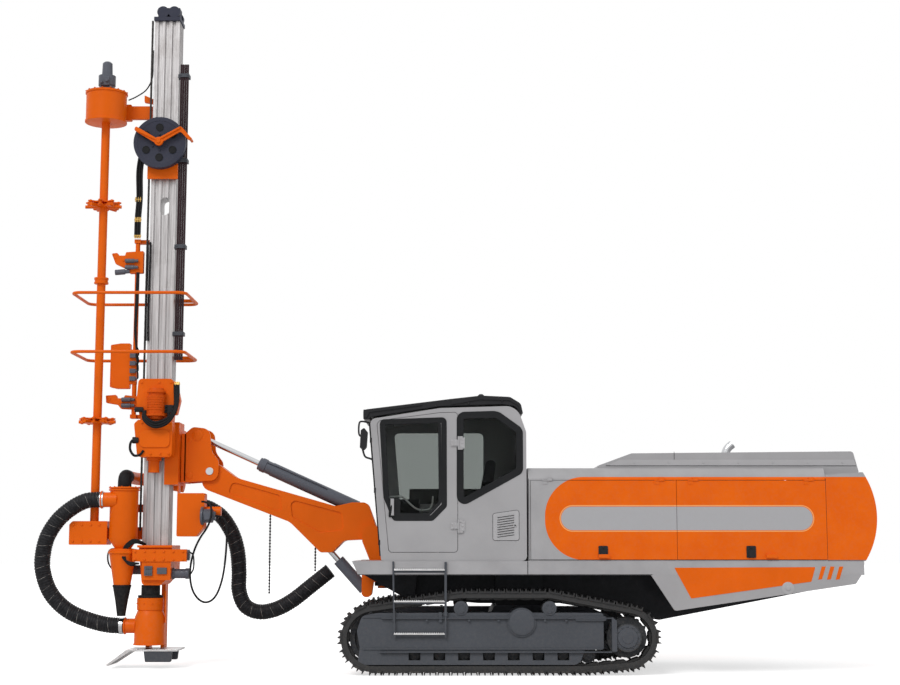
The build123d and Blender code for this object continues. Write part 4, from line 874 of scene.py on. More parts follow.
valves = Piece("head_valves", black, "rotation_head", "black_metal", bevel=0.003)
valves.box((-3560, -3430), (-160, -100), (3200, 3300))
valves.rod((-3500, -170, 3120), (-3500, -170, 3200), 20, 14)
for x, z in ((-3540, 3240), (-3450, 3240), (-3540, 3280), (-3450, 3280)):
    valves.rod((x, -185, z), (x, -160, z), 14, 12, 3)
valves.rod((-3880, -150, 2850), (-3958, -165, 2850), 42, 20, 6)
valves.rod((-3830, -150, 3240), (-3935, -180, 3240), 34, 20, 6)
valves.done()
head_hoses = Piece("head_hoses", rubber, "rotation_head", "hose_rubber")
for shift in (0, 1, 2):
    head_hoses.tube(((-3400 - 24 * shift, -90, 3560), (-3385 - 20 * shift, -170, 3420),
                     (-3400 - 10 * shift, -240, 3220), (-3500 - 10 * shift, -265, 3060 + 26 * shift),
                     (-3660, -262, 3010 + 30 * shift), (-3800 + 12 * shift, -240, 3100 + 20 * shift),
                     (-3822 + 12 * shift, -170, 3220)), 17, 10, 7)
head_hoses.tube(((-3950, -190, 2850), (-3972, -208, 2800), (-3968, -214, 2720), (-3920, -208, 2655),
                 (-3850, -190, 2665), (-3810, -176, 2720)), 16, 10, 7)
head_hoses.done()
head_fit = Piece("head_fittings", brass, "rotation_head", "bright_steel")
for shift in (0, 1, 2):
    head_fit.lathe((-3400 - 24 * shift, -78, 3600), (0, -0.3, -1),
                   ((0, 16), (18, 16), (19, 22), (36, 22), (37, 18), (56, 18)), 6)
head_fit.done()

# Grippers: jaws on the upright shaft, and the valve box between them
jaws = Piece("gripper_jaws", orange, "grippers", "orange_paint", bevel=0.004)
upper = ((-4355, 5317, 12), (-4280, 5325, 12), (-4265, 5290, 12), (-4180, 5290, 12), (-4165, 5335, 12),
         (-3938, 5350, 12), (-3938, 5060, 12), (-4113, 5053, 12), (-4150, 5110, 12), (-4300, 5180, 12))
lower = ((-4380, 3450, 12), (-4250, 3460, 12), (-4230, 3415, 12), (-4150, 3415, 12), (-4130, 3455, 12),
         (-3954, 3440, 12), (-3950, 3266, 12), (-4180, 3279, 12), (-4220, 3330, 12), (-4372, 3356, 12))
for outline in (upper, lower):
    for low, high in ((150, 172), (208, 230)):
        jaws.slab(outline, (low, high))
jaws.box((-4075, -3965), (160, 220), (5090, 5310))
jaws.box((-4075, -3965), (160, 220), (3290, 3430))
jaws.rod((-4020, 190, 3206), (-4020, 190, 5454), 30, 24)
for x, z in ((-4310, 5262), (-4200, 5230), (-4330, 3404), (-4180, 3370)):
    jaws.rod((x, 144, z), (x, 236, z), 22, 18, 4)
jaws.slab(((-4330, 3560, 16), (-4330, 4110, 16), (-4200, 4130, 16), (-4075, 4130, 16), (-4075, 3540, 16),
           (-4240, 3540, 16)), (146, 234))
jaws.box((-4075, -3992), (150, 226), (3600, 4050))
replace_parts(jaws.done(), "gripper_arms")
jaw_rods = Piece("gripper_cylinders", cylinder_grey, "grippers", "dark_paint", bevel=0.002)
for z in (5130, 5215, 3318, 3395):
    jaw_rods.lathe((-4170, 128, z), REAR, ((0, 24), (4, 28), (120, 28), (124, 20), (170, 20)), 20)
jaw_rods.lathe((-4300, 132, 5060), (1, 0.1, 0.1), ((0, 30), (4, 36), (130, 36), (134, 26), (190, 26)), 20)
for z in (3640, 3740, 3840, 3940):
    jaw_rods.box((-4074, -4000), (116, 150), (z, z + 56))
    jaw_rods.rod((-4000, 134, z + 28), (-3976, 134, z + 28), 14, 12)
jaw_rods.done()
jaw_hoses = Piece("gripper_hoses", rubber, "grippers", "hose_rubber")
for shift, z in enumerate((3640, 3740, 3840, 3940)):
    jaw_hoses.tube(((-3978, 134, z + 28), (-3966, 128, z + 36), (-3966, 122, z + 90),
                    (-3974 - 8 * shift, 114, z + 180), (-4000 - 6 * shift, 110, 4300),
                    (-3990 - 8 * shift, 112, 4700), (-3985 - 8 * shift, 116, 5060)), 10, 8, 6)
jaw_hoses.done()

# Hoses down the left of the feed, with their fittings, and the chain beside the beam
left_hoses = Piece("feed_left_hoses", rubber, "feed", "hose_rubber")
for shift in (0, 1, 2):
    left_hoses.tube(((-4010 + 30 * shift, 110, 6650), (-4040 + 30 * shift, 120, 6400),
                     (-4030 + 28 * shift, 120, 6050), (-4045 + 28 * shift, 125, 5780),
                     (-4046 + 28 * shift, 120, 5545)), 15, 10, 7)
for shift in (0, 1):
    left_hoses.tube(((-3876 + 30 * shift, 118, 5460), (-3872 + 28 * shift, 118, 5200),
                     (-3880 + 28 * shift, 118, 4600), (-3874 + 28 * shift, 118, 4160)), 13, 10, 7)
left_hoses.done()
feed_fit = Piece("feed_fittings", brass, "feed", "bright_steel")
for shift in (0, 1, 2):
    for z in (5545, 5760, 6030):
        feed_fit.lathe((-4046 + 29 * shift, 122, z - 30), UP,
                       ((0, 15), (20, 15), (21, 21), (40, 21), (41, 15), (62, 15)), 6)
feed_fit.done()
links = Piece("feed_chain_links", chain_steel, "feed", "black_metal")
for step in range(150):
    z = 1720 + step * 45
    link = fillet(((-3905, z - 6, 9), (-3880, z - 6, 9), (-3880, z + 50, 9), (-3905, z + 50, 9)), 2)
    for low, high in (((150, 154), (168, 172)) if step % 2 else ((154, 158), (164, 168))):
        links.prism(link, "Y", low, high)
    links.rod((-3892, 146, z), (-3892, 176, z), 9, 10)
links_made = links.done()
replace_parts(links_made, "feed_chain")

# Hose band down the beam's right edge
band = Piece("hose_band", band_rubber, "feed", "hose_rubber")
for shift in range(4):
    band.tube(((-3486 + 29 * shift, 95, 3905), (-3486 + 29 * shift, 95, 5200),
               (-3484 + 29 * shift, 95, 6500), (-3486 + 29 * shift, 95, 7850)), 14, 12, 4)
band_made = band.done()
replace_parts(band_made, "feed_hoses")
band_clips = Piece("hose_band_clips", frame_dark, "feed", "dark_paint", bevel=0.003)
for z in (4250, 5400, 6550, 7700):
    band_clips.box((-3508, -3380), (72, 82), (z - 25, z + 25))
    band_clips.box((-3530, -3380), (108, 210), (z - 25, z + 25))
    band_clips.box((-3392, -3380), (76, 112), (z - 25, z + 25))
    band_clips.bolt((-3492, 72, z), LEFT, 9, 8)
    band_clips.bolt((-3396, 72, z), LEFT, 9, 8)
band_clips.done()

# Cyclone: flanged drum, hopper and its rubber duct
cyclone_x, cyclone_y = -4066, -30
cyclone = Piece("cyclone_drum", orange, "feed", "orange_paint", bevel=0.003)
cyclone.lathe((cyclone_x, cyclone_y, 1030), UP,
              ((0, 106), (390, 168), (398, 184), (420, 184), (426, 168), (450, 168), (462, 104), (572, 178),
               (1185, 178), (1187, 194), (1203, 194), (1205, 178), (1212, 178), (1214, 194), (1230, 194),
               (1236, 120)), 44)
cyclone.rod((-4126, -125, 2100), (-4346, -125, 2100), 94, 36, 4)
cyclone.lathe((-4318, -125, 2100), FRONT, ((0, 96), (2, 112), (16, 112), (18, 96)), 36)
cyclone.tube(((cyclone_x, cyclone_y, 2225), (-4066, -20, 2330), (-4066, 40, 2396), (-4066, 160, 2400),
              (-4066, 700, 2400), (-4040, 752, 2398), (-3960, 760, 2388), (-3440, 760, 2300)), 81, 28, 6)
cyclone.box((-4106, -4006), (110, 300), (1950, 2050))
cyclone.box((-4106, -3862), (220, 300), (1950, 2050))
cyclone.bolt_ring((cyclone_x, cyclone_y, 2260), UP, 186, 12, 9, 8)
cyclone_made = cyclone.done()
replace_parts(cyclone_made, "cyclone")
duct = Piece("cyclone_duct", rubber, "feed", "hose_rubber", bevel=0.002)
duct.lathe((cyclone_x, cyclone_y, 645), UP,
           ((0, 44), (2, 54), (30, 56), (180, 78), (360, 112), (386, 114), (388, 108)), 36)
duct.lathe((cyclone_x, cyclone_y, 1008), UP, ((0, 114), (2, 118), (22, 118), (24, 114)), 36)
duct.tube(((cyclone_x, cyclone_y, 2240), (-4066, -26, 2340), (-4066, 30, 2398), (-4066, 150, 2402)), 86, 28,
          8)
duct.done()

# Suction hood and foot plate
hood = Piece("dust_hood", orange, "feed", "orange_paint", bevel=0.004)
hood.lathe((drill_x, drill_y, 285), UP,
           ((0, 196), (0, 204), (14, 204), (16, 194), (345, 190), (430, 156), (436, 168), (582, 168),
            (585, 160), (585, 104)), 44)
hood.lathe((drill_x, drill_y, 285), UP, ((0, 192), (330, 186), (420, 150)), 44)
hood.rod((-3890, 50, 520), (-4046, 50, 520), 92, 36, 4)
hood.lathe((-4020, 50, 520), FRONT, ((0, 94), (2, 108), (14, 108), (16, 94)), 36)
hood.prism(((-3520, 560), (-3508, 560), (-3508, 960), (-3520, 960)), "Y", -10, 70)
for turn in range(10):
    angle = 2 * math.pi * turn / 10
    out_x, out_y = math.cos(angle), math.sin(angle)
    hood.bolt((drill_x + 168 * out_x, drill_y + 168 * out_y, 800), (out_x, out_y, 0), 9, 8)
hood_made = hood.done()
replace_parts(hood_made, "suction_hood")
collar = Piece("drill_collar", rubber, "feed", "hose_rubber", bevel=0.003)
collar.lathe((drill_x, drill_y, 872), UP, ((0, 150), (2, 158), (30, 158), (34, 118), (158, 118), (160, 90)),
             36)
collar.done()
plate = Piece("foot_blade", silver, "feed", "light_grey_paint", bevel=0.003)
plate.slab(((-3962, 238, 4), (-3330, 238, 4), (-3330, 214, 4), (-3915, 214, 30), (-4196, 34, 3),
            (-4212, 50, 3)), (-160, 420))
plate_made = plate.done()
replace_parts(plate_made, "foot_plate")
feet = Piece("foot_blocks", frame_dark, "feed", "dark_paint", bevel=0.004)
for low, high in ((-150, -60), (330, 410)):
    feet.slab(((-3731, 83, 14), (-3414, 83, 14), (-3400, 212, 4), (-3750, 212, 4)), (low, high))
feet.done()

# Breakout table
table = Piece("table_body", orange, "feed", "orange_paint", bevel=0.005)
table.slab(((-3850, 1529, 10), (-3430, 1529, 10), (-3430, 1180, 20), (-3560, 1030, 50), (-3800, 1030, 50)),
           (-120, 490))
table.box((-3915, -3235), (-186, -118), (1325, 1478))
table.slab(((-3795, 1095, 16), (-3432, 1095, 16), (-3432, 1330, 4), (-3795, 1330, 4)), (-170, -118))
for low, high in ((-3806, -3756), (-3616, -3566)):
    table.box((low, high), (260, 450), (239, 1040))
for x in (-3880, -3760, -3640, -3520, -3400, -3280):
    table.bolt((x, -186, 1352), LEFT, 14, 11)
    table.bolt((x, -186, 1450), LEFT, 14, 11)
table.slab(((-3860, 1500, 10), (-3420, 1500, 10), (-3420, 1529, 4), (-3860, 1529, 4)), (-170, -118))
table_made = table.done()
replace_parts(table_made, "breakout_table")
jacks = Piece("table_cylinders", cylinder_grey, "feed", "dark_paint", bevel=0.002)
for z in (1405, 1174):
    jacks.lathe((-3436, -40, z), REAR,
                ((0, 70), (10, 74), (30, 74), (34, 60), (170, 60), (174, 68), (216, 68), (220, 56)), 28)
for z in (1412, 1218):
    jacks.lathe((-3840, 225, z), FRONT, ((0, 60), (200, 60), (206, 74), (240, 74), (246, 58), (308, 58)),
                28)
jacks.box((-3760, -3660), (-196, -168), (1150, 1270))
jacks.box((-3600, -3480), (-190, -168), (1170, 1250))
for x in (-3735, -3710, -3685):
    jacks.rod((x, -206, 1180), (x, -194, 1180), 11, 14)
    jacks.rod((x, -206, 1240), (x, -194, 1240), 11, 14)
jacks.done()
table_hoses = Piece("table_hoses", rubber, "feed", "hose_rubber")
for shift in range(4):
    table_hoses.tube(((-3860 + 12 * shift, -196, 1300), (-3920 - 6 * shift, -214, 1280 + 12 * shift),
                      (-3990 - 10 * shift, -200, 1330 + 10 * shift), (-4010 - 12 * shift, -150, 1440),
                      (-3960 - 8 * shift, -150, 1520 + 14 * shift), (-3880, -140, 1560 + 12 * shift),
                      (-3800 + 10 * shift, -60, 1540)), 12, 8, 7)
table_hoses.tube(((-3230, -40, 1450), (-3170, -60, 1400), (-3160, -70, 1250), (-3190, -70, 1180),
                  (-3230, -50, 1130)), 10, 8, 7)
table_hoses.tube(((-4080, 225, 1470), (-4090, 120, 1480), (-4250, 60, 1470), (-4262, 60, 1300),
                  (-4150, 150, 1140)), 10, 8, 7)
table_hoses.done()


def inset(rows, distance):
    """Move an outline's sides inward (rows hold x, z and the corner's radius)."""
    count = len(rows)
    pairs = [(rows[i], rows[(i + 1) % count]) for i in range(count)]
    area = sum(here[0] * after[1] - after[0] * here[1] for here, after in pairs)
    side = 1 if area > 0 else -1
    sides = []
    for here, after in pairs:
        a, b = Vector(here[:2]), Vector(after[:2])
        way = (b - a).normalized()
        shift = Vector((-way.y, way.x)) * distance * side
        sides.append((a + shift, way))
    made = []
    for i in range(count):
        (p, u), (q, v) = sides[i - 1], sides[i]
        cross = u.x * v.y - u.y * v.x
        t = ((q.x - p.x) * v.y - (q.y - p.y) * v.x) / cross
        corner = p + u * t
        made.append((corner.x, corner.y, max(rows[i][2] - distance, 4)))
    return tuple(made)


def ring(piece, rows, inner, outer, y_low, y_high):
    """A flat frame between two insets of an outline."""
    first, second = fillet(inset(rows, outer)), fillet(inset(rows, inner))
    count = len(first)
    verts = [(x, y, z) for y in (y_low, y_high) for line in (first, second) for x, z in line]
    faces = []
    for i in range(count):
        j = (i + 1) % count
        a, b, c, d = i, j, count + j, count + i
        faces += [(a, b, c, d), (2 * count + a, 2 * count + d, 2 * count + c, 2 * count + b),
                  (a, 2 * count + a, 2 * count + b, b), (d, c, 2 * count + c, 2 * count + d)]
    piece.grow(verts, faces)


# Cab: gaskets, hinges, handle, vent panel, guard details, wiper and mirror
door_pane = ((-745, 3000, 40), (-65, 3025, 60), (-55, 2040, 60), (-190, 1900, 60), (-590, 1900, 60),
             (-690, 2090, 60))
door_edge = ((-772, 3030, 50), (34, 3058, 60), (38, 1985, 60), (-130, 1815, 60), (-606, 1815, 60),
             (-722, 2090, 60))
side_pane = ((190, 3085, 60), (640, 3098, 150), (915, 2900, 80), (915, 2410, 60), (190, 2010, 60))
door_seal = Piece("door_gasket", gasket, "cab_door", "cab_plastic", bevel=0.003)
ring(door_seal, door_pane, -30, 6, -1208, -1190)
ring(door_seal, door_edge, 0, 66, -1207, -1200)
door_seal.panel((-600, -520), (1860, 2075), 10, (-1206, -1192))
door_seal.done()
cab_seal = Piece("cab_gasket", gasket, "carrier", "cab_plastic", bevel=0.003)
ring(cab_seal, side_pane, -36, 48, -1206, -1188)
cab_seal.done()
rail = Piece("door_rail", silver, "cab_door", "light_grey_paint")
rail.tube(((-640, -1150, 2105), (-520, -1150, 2105), (-470, -1150, 2080), (-330, -1150, 1962),
           (-180, -1150, 1952), (-140, -1150, 2020), (-130, -1150, 2110)), 11, 12, 7)
rail.done()
handle = Piece("door_handle", gasket, "cab_door", "cab_plastic", bevel=0.003)
handle.slab(((-660, 1860, 12), (-600, 1860, 12), (-590, 2060, 12), (-650, 2060, 12)), (-1216, -1200))
handle.tube(((-636, -1214, 1880), (-636, -1228, 1890), (-628, -1231, 1970), (-622, -1214, 2040)), 10, 12, 6)
handle.done()
door_leaves = Piece("door_hinge_leaves", panel_light, "cab_door", "light_grey_paint", bevel=0.003)
for z in (1755, 2746):
    door_leaves.panel((84, 166), (z - 42, z + 42), 8, (-1212, -1201))
    for shift in (-24, 24):
        door_leaves.bolt((104, -1212, z + shift), LEFT, 11, 7)
        door_leaves.bolt((142, -1212, z + shift), LEFT, 11, 7)
door_leaves.done()
cab_leaves = Piece("cab_hinge_leaves", panel_light, "carrier", "light_grey_paint", bevel=0.003)
for z in (1755, 2746):
    cab_leaves.panel((190, 250), (z - 66, z + 66), 8, (-1212, -1199))
    for shift in (-44, 0, 44):
        cab_leaves.bolt((222, -1212, z + shift), LEFT, 11, 7)
cab_leaves.done()
vent_panel = Piece("cab_vent_panel", panel_light, "carrier", "light_grey_paint", bevel=0.002)
vent_rows = ((588, 1585, 26), (897, 1585, 26), (897, 1945, 26), (588, 1900, 26))
vent_panel.slab(vent_rows, (-1206, -1199))
for step in range(9):
    z = 1640 + step * 29
    vent_panel.box((640, 840), (-1216, -1204), (z, z + 9), turn=("Y", -8))
vent_panel.lathe((852, -1205, 1762), LEFT, ((0, 24), (4, 24), (6, 18), (9, 16)), 24)
vent_panel.done()
vent_lines = Piece("cab_vent_lines", gasket, "carrier", "cab_plastic")
ring(vent_lines, vent_rows, -5, 0, -1202, -1199)
for step in range(9):
    z = 1640 + step * 29
    vent_lines.box((640, 840), (-1209, -1205), (z - 7, z), turn=("Y", -8))
vent_lines.lathe((852, -1212, 1762), LEFT, ((0, 10), (3, 10)), 20)
vent_lines.done()
strip = Piece("cab_front_strip", gasket, "carrier", "cab_plastic", bevel=0.003)
strip.prism(((-766, 1400), (-744, 1400), (-884, 2990), (-906, 2990)), "Y", -1195, -1120)
for z in (1560, 2180, 2780):
    x = -751 - (z - 1400) * 0.088
    strip.box((x - 18, x + 6), (-1207, -1150), (z - 30, z + 30))
strip.tube(((-775, -900, 1560), (-800, -860, 1900), (-838, -700, 2300)), 9, 8, 5)
strip.box((-868, -790), (-730, -690), (2000, 2640), turn=("Y", -5))
strip.done()
guard_shell = Piece("guard_shell", black, "carrier", "black_metal", bevel=0.006)
guard_shell.slab(((-966, 3034, 8), (-966, 3152, 40), (90, 3282, 60), (450, 3322, 120), (800, 3306, 90),
                  (930, 3225, 70), (958, 3095, 20), (915, 3100, 20), (870, 3190, 80), (700, 3215, 60),
                  (-46, 3190, 60), (-880, 3060, 20), (-900, 3034, 8)), (-1180, 30))
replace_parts(guard_shell.done(), "cab_roof_guard")
guard_details = Piece("guard_details", black, "carrier", "black_metal", bevel=0.004)
guard_details.slab(((-966, 3052, 10), (-966, 3148, 24), (-260, 3236, 10), (-260, 3204, 10),
                    (-900, 3118, 10), (-930, 3052, 10)), (-1196, -1178))
guard_details.slab(((90, 3210, 10), (90, 3278, 20), (450, 3318, 80), (800, 3300, 80), (925, 3222, 60),
                    (950, 3110, 20), (925, 3110, 20), (900, 3200, 60), (790, 3262, 60), (440, 3272, 60)),
                   (-1196, -1178))
guard_details.lathe((460, -620, 3318), UP, ((0, 42), (12, 44), (30, 44), (60, 38), (74, 20)), 28)
for x in (-840, -620, -100, 300, 700):
    guard_details.bolt((x, -1180, 3130 + (x + 966) * 0.075), LEFT, 14, 10)
guard_details.done()
lamps = Piece("guard_lamps", black, "carrier", "black_metal", bevel=0.003)
glow = Piece("guard_lamp_lenses", lens, "carrier", "glass")
for y in (-1090, -880, -300, -90):
    lamps.lathe((-900, y, 3100), FRONT, ((0, 50), (40, 58), (74, 60), (76, 54), (70, 50)), 28)
    glow.lathe((-966, y, 3100), FRONT, ((0, 50), (3, 48), (6, 30)), 28)
lamps.done()
glow.done()
mirror = Piece("mirror_case", black, "carrier", "black_metal", bevel=0.004)
mirror.slab(((-1010, 2690, 16), (-962, 2660, 16), (-930, 2700, 16), (-918, 2880, 16), (-960, 2930, 16),
             (-1000, 2900, 16)), (-1220, -1080))
mirror.tube(((-885, -1150, 2990), (-985, -1150, 3010), (-1022, -1150, 2985), (-1024, -1150, 2860),
             (-985, -1150, 2820)), 11, 12, 6)
mirror.tube(((-985, -1150, 2700), (-950, -1150, 2590), (-880, -1140, 2560), (-848, -1130, 2540)), 12, 12, 6)
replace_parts(mirror.done(), "cab_mirror")

# Ladder: serrated treads between two posts
ladder = Piece("ladder_posts", frame_dark, "carrier", "dark_paint", bevel=0.003)
ladder.tube(((-600, -1226, 1326), (-600, -1234, 1290), (-592, -1235, 860), (-580, -1235, 446)), 11, 12, 5)
ladder.box((8, 36), (-1246, -1222), (700, 1330))
ladder.box((12, 30), (-1244, -1226), (446, 720))
ladder.rod((22, -1226, 745), (22, -1226, 690), 22, 20, 4)
for z in (1225, 858, 480):
    ladder.box((-598, 30), (-1228, -1221), (z - 22, z + 14))
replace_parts(ladder.done(), "step_ladder")
treads = Piece("ladder_treads", silver, "carrier", "light_grey_paint", bevel=0.0015)
for z in (1236, 865, 486):
    treads.box((-590, 12), (-1249, -1224), (z - 8, z + 8))
    for x in range(-580, 10, 26):
        treads.prism(((x - 9, z + 7), (x + 9, z + 7), (x + 4, z + 18), (x - 4, z + 18)), "Y", -1248, -1226)
treads.done()

# Engine housing: latches, seams, screws, cowl ledge and the bent exhaust
for name, x in (("hood_door_front_left", 1898), ("hood_door_rear_left", 3660)):
    latch = Piece("latch_" + name[10:], black, name, "black_metal", bevel=0.003)
    latch.slab(((x - 56, 1378, 10), (x + 56, 1378, 10), (x + 56, 1520, 14), (x - 56, 1520, 14)),
               (-1228, -1214))
    latch.slab(((x - 30, 1384, 8), (x + 30, 1384, 8), (x + 26, 1470, 10), (x - 26, 1470, 10)),
               (-1242, -1224))
    latch.lathe((x, -1228, 1497), LEFT, ((0, 13), (4, 13), (5, 9), (8, 9)), 24)
    latch.done()
hood_seams = Piece("hood_seams", gasket, "carrier", "cab_plastic")
hood_seams.box((1012, 4570), (-1207, -1203), (1351, 1357))
hood_seams.box((4566, 4574), (-1207, -1190), (1360, 2320))
hood_seams.box((1012, 1018), (-1207, -1203), (1345, 2320))
hood_seams.done()
ledge = Piece("cowl_ledge", panel_light, "carrier", "light_grey_paint", bevel=0.003)
for y in ((-1047, -1036), (1036, 1047)):
    ledge.slab(((1990, 2484, 4), (4984, 2484, 4), (4966, 2556, 4), (2130, 2556, 4)), y)
for x in range(2300, 4900, 420):
    ledge.bolt((x, -1047, 2520), LEFT, 10, 5)
ledge.done()
cowl_seams = Piece("cowl_seams", gasket, "carrier", "cab_plastic")
for y in ((-1044, -1038), (1038, 1044)):
    cowl_seams.box((1960, 4986), y, (2479, 2485))
    cowl_seams.box((2786, 2791), y, (2485, 2652))
cowl_seams.done()
pipe = Piece("exhaust_bend", bright, "carrier", "bright_steel")
pipe.tube(((3644, 300, 2255), (3644, 300, 2640), (3648, 300, 2720), (3680, 300, 2780), (3735, 300, 2828)),
          54, 32, 9)
pipe.lathe((3644, 300, 2652), UP, ((0, 66), (2, 74), (22, 74), (24, 62)), 36)
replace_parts(pipe.done(), "exhaust_pipe")

# Rear skirt: orange field, three slanted bars and a round cap
skirt = Piece("skirt_field", orange, "carrier", "orange_paint", bevel=0.001)
for low, high in ((-1222.5, -1218), (1218, 1222.5)):
    skirt.slab(((2740, 1262, 8), (4418, 1270, 8), (4366, 1098, 8), (2934, 900, 8)), (low, high))
    for x in (4448, 4552, 4656):
        skirt.prism(((x - 2, 1122), (x + 44, 1126), (x + 94, 1276), (x + 46, 1276)), "Y", low, high)
skirt.done()
cap = Piece("skirt_cap", panel_light, "carrier", "light_grey_paint", bevel=0.002)
cap.lathe((4086, -1216, 1020), LEFT, ((0, 76), (6, 76), (10, 66), (12, 30), (20, 26), (22, 12)), 40)
cap.done()
edge = Piece("platform_edges", gasket, "carrier", "cab_plastic")
for y in ((-1222, -1219), (1219, 1222)):
    edge.box((-1020, 2480), y, (1178, 1184))
    edge.box((995, 1003), y, (1184, 1336))
edge.done()

# Hose reel: backing disc, rim and the V bracket in front
reel_x, reel_z = -3729, 6760
disc = Piece("reel_disc", reel_metal, "hose_reel", "dark_paint", bevel=0.003)
disc.lathe((reel_x, 62, reel_z), LEFT, ((0, 318), (6, 318), (8, 300)), 56)
disc.lathe((reel_x, -30, reel_z), LEFT, ((0, 338), (2, 340), (10, 340), (12, 322), (6, 290)), 64)
disc.lathe((reel_x, -14, reel_z), LEFT, ((0, 130), (6, 126), (10, 90), (16, 86)), 48)
for turn in range(6):
    angle = math.pi * turn / 3 + math.pi / 6
    disc.lathe((reel_x + 190 * math.cos(angle), -10, reel_z + 190 * math.sin(angle)), LEFT,
               ((0, 78), (4, 78), (7, 66)), 28)
    disc.bolt((reel_x + 105 * math.cos(angle), -40, reel_z + 105 * math.sin(angle)), LEFT, 12, 9)
disc.done()
holes = Piece("reel_openings", gasket, "hose_reel", "black_metal")
for turn in range(6):
    angle = math.pi * turn / 3 + math.pi / 6
    holes.lathe((reel_x + 200 * math.cos(angle), -40, reel_z + 200 * math.sin(angle)), LEFT,
                ((0, 50), (6, 50), (7, 44), (3, 40)), 32)
holes.done()
brace = Piece("reel_brace", orange, "reel_carriage", "orange_paint", bevel=0.004)
brace.slab(((-4050, 6905, 20), (-4030, 6958, 20), (-3745, 6790, 30), (-3440, 6960, 30), (-3300, 6800, 16),
            (-3330, 6765, 16), (-3446, 6890, 30), (-3740, 6715, 30)), (-104, -78))
brace.slab(((-4050, 6905, 20), (-4030, 6958, 20), (-3745, 6790, 30), (-3440, 6960, 30), (-3446, 6930, 30),
            (-3740, 6762, 30)), (-122, -76))
brace.lathe((reel_x, -76, reel_z), LEFT, ((0, 60), (34, 56), (36, 30), (50, 28)), 32)
brace.rod((-4030, -90, 6925), (-4030, 70, 6925), 18, 16)
brace.rod((-3320, -90, 6800), (-3320, 70, 6800), 18, 16)
brace.done()

# Carousel: claws in two layers, its motor, its drum with arm and bracket, and the line to it
carousel_x, carousel_y = -4456, 50
claw_count = 8
claw_steps = 96
claws = Piece("carousel_claws", orange, "carousel", "orange_paint", bevel=0.003)
claw_outline = []
for step in range(claw_steps):
    angle = 2 * math.pi * step / claw_steps
    wave = math.cos(claw_count * angle)
    reach = 150 + 82 * wave ** 0.5 if wave > 0 else 150 + 12 * wave
    claw_outline.append((carousel_x + reach * math.cos(angle), carousel_y + reach * math.sin(angle)))
for z in (5942, 3112):
    for low, high in ((z - 34, z - 16), (z + 16, z + 34)):
        claws.prism(claw_outline, "Z", low, high)
    for turn in range(8):
        angle = math.pi * turn / 4
        x, y = carousel_x + 196 * math.cos(angle), carousel_y + 196 * math.sin(angle)
        claws.rod((x, y, z - 42), (x, y, z + 42), 17, 14, 3)
claws.lathe((carousel_x, carousel_y, 4890), UP,
            ((0, 58), (4, 92), (26, 92), (30, 78), (56, 78), (60, 92), (84, 92), (88, 58)), 36)
claws.done()
carousel_motor = Piece("carousel_motor", cylinder_grey, "feed", "dark_paint", bevel=0.003)
carousel_motor.lathe((carousel_x, carousel_y, 7448), UP,
                     ((0, 150), (20, 150), (24, 104), (90, 100), (94, 112), (230, 112), (236, 70),
                      (400, 64), (422, 40)), 32)
carousel_motor.box((-4520, -4400), (-90, -40), (7520, 7640))
carousel_motor.rod((-4500, -96, 7560), (-4500, -120, 7560), 22, 16)
carousel_motor.rod((-4430, -96, 7580), (-4430, -120, 7580), 22, 16)
carousel_motor.done()
drum = Piece("carousel_drum", orange, "feed", "orange_paint", bevel=0.004)
drum.lathe((carousel_x, carousel_y, 7040), UP,
           ((0, 262), (2, 272), (26, 272), (28, 262), (380, 262), (382, 274), (408, 274), (410, 262)), 56)
drum.panel((-4300, -3870), (7139, 7315), 20, (204, 262))
drum.slab(((-4741, 1535, 14), (-4262, 1535, 14), (-4262, 1832, 14), (-4700, 1832, 40), (-4741, 1790, 14)),
          (-90, 178))
for x in (-4690, -4580, -4470, -4360):
    drum.bolt((x, -90, 1580), LEFT, 14, 10)
    drum.bolt((x, -90, 1785), LEFT, 14, 10)
drum.bolt_ring((carousel_x, carousel_y, 7450), UP, 268, 16, 10, 8)
drum.box((-4356, -3862), (230, 310), (1600, 1760))
drum.box((-4396, -4266), (150, 310), (1600, 1760))
drum.slab(((-3989, 7465, 8), (-3869, 7411, 8), (-3828, 7343, 8), (-3987, 7370, 8)), (204, 262))
drum.panel((-4250, -4150), (7120, 7334), 20, (190, 275))
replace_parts(drum.done(), "carousel_frame")
mast_line = Piece("mast_line", rubber, "feed", "hose_rubber")
mast_line.tube(((-3885, 200, 8080), (-3885, 200, 7900), (-3892, 200, 7700), (-3960, 190, 7540),
                (-4080, 170, 7440), (-4188, 150, 7380)), 9, 8, 8)
mast_line.done()

# Drive motor on the feed cradle
drive_motor = Piece("drive_motor", cylinder_grey, "feed_cradle", "dark_paint", bevel=0.003)
drive_motor.lathe((-3096, 40, 1900), REAR,
                  ((0, 112), (8, 116), (30, 116), (34, 88), (150, 88), (154, 60), (184, 56)), 32)
drive_motor.box((-3040, -2940), (-70, -40), (1850, 1950))
drive_motor.done()

# Free hydraulic hose that hangs beside the drive box and comes back to its motor; places in metres
cord_diameter = 0.026
loop_route = ((-3.088, 0.0, 2.08), (-3.03, -0.01, 2.08), (-2.945, -0.05, 2.02), (-2.955, -0.1, 1.8),
              (-3.12, -0.15, 1.56), (-3.2, -0.16, 1.25), (-3.17, -0.15, 0.96), (-3.03, -0.13, 0.8),
              (-2.88, -0.1, 0.85), (-2.79, -0.06, 1.1), (-2.76, -0.01, 1.45), (-2.76, 0.03, 1.8),
              (-2.83, 0.04, 1.9), (-2.912, 0.04, 1.9))
loop_curve = bpy.data.curves.new("drive_box_hose", "CURVE")
loop_curve.dimensions = "3D"
loop_line = loop_curve.splines.new("NURBS")
loop_line.points.add(len(loop_route) - 1)
for point, place in zip(loop_line.points, loop_route):
    point.co = (*place, 1.0)
loop_line.order_u = 3
loop_line.use_endpoint_u = True
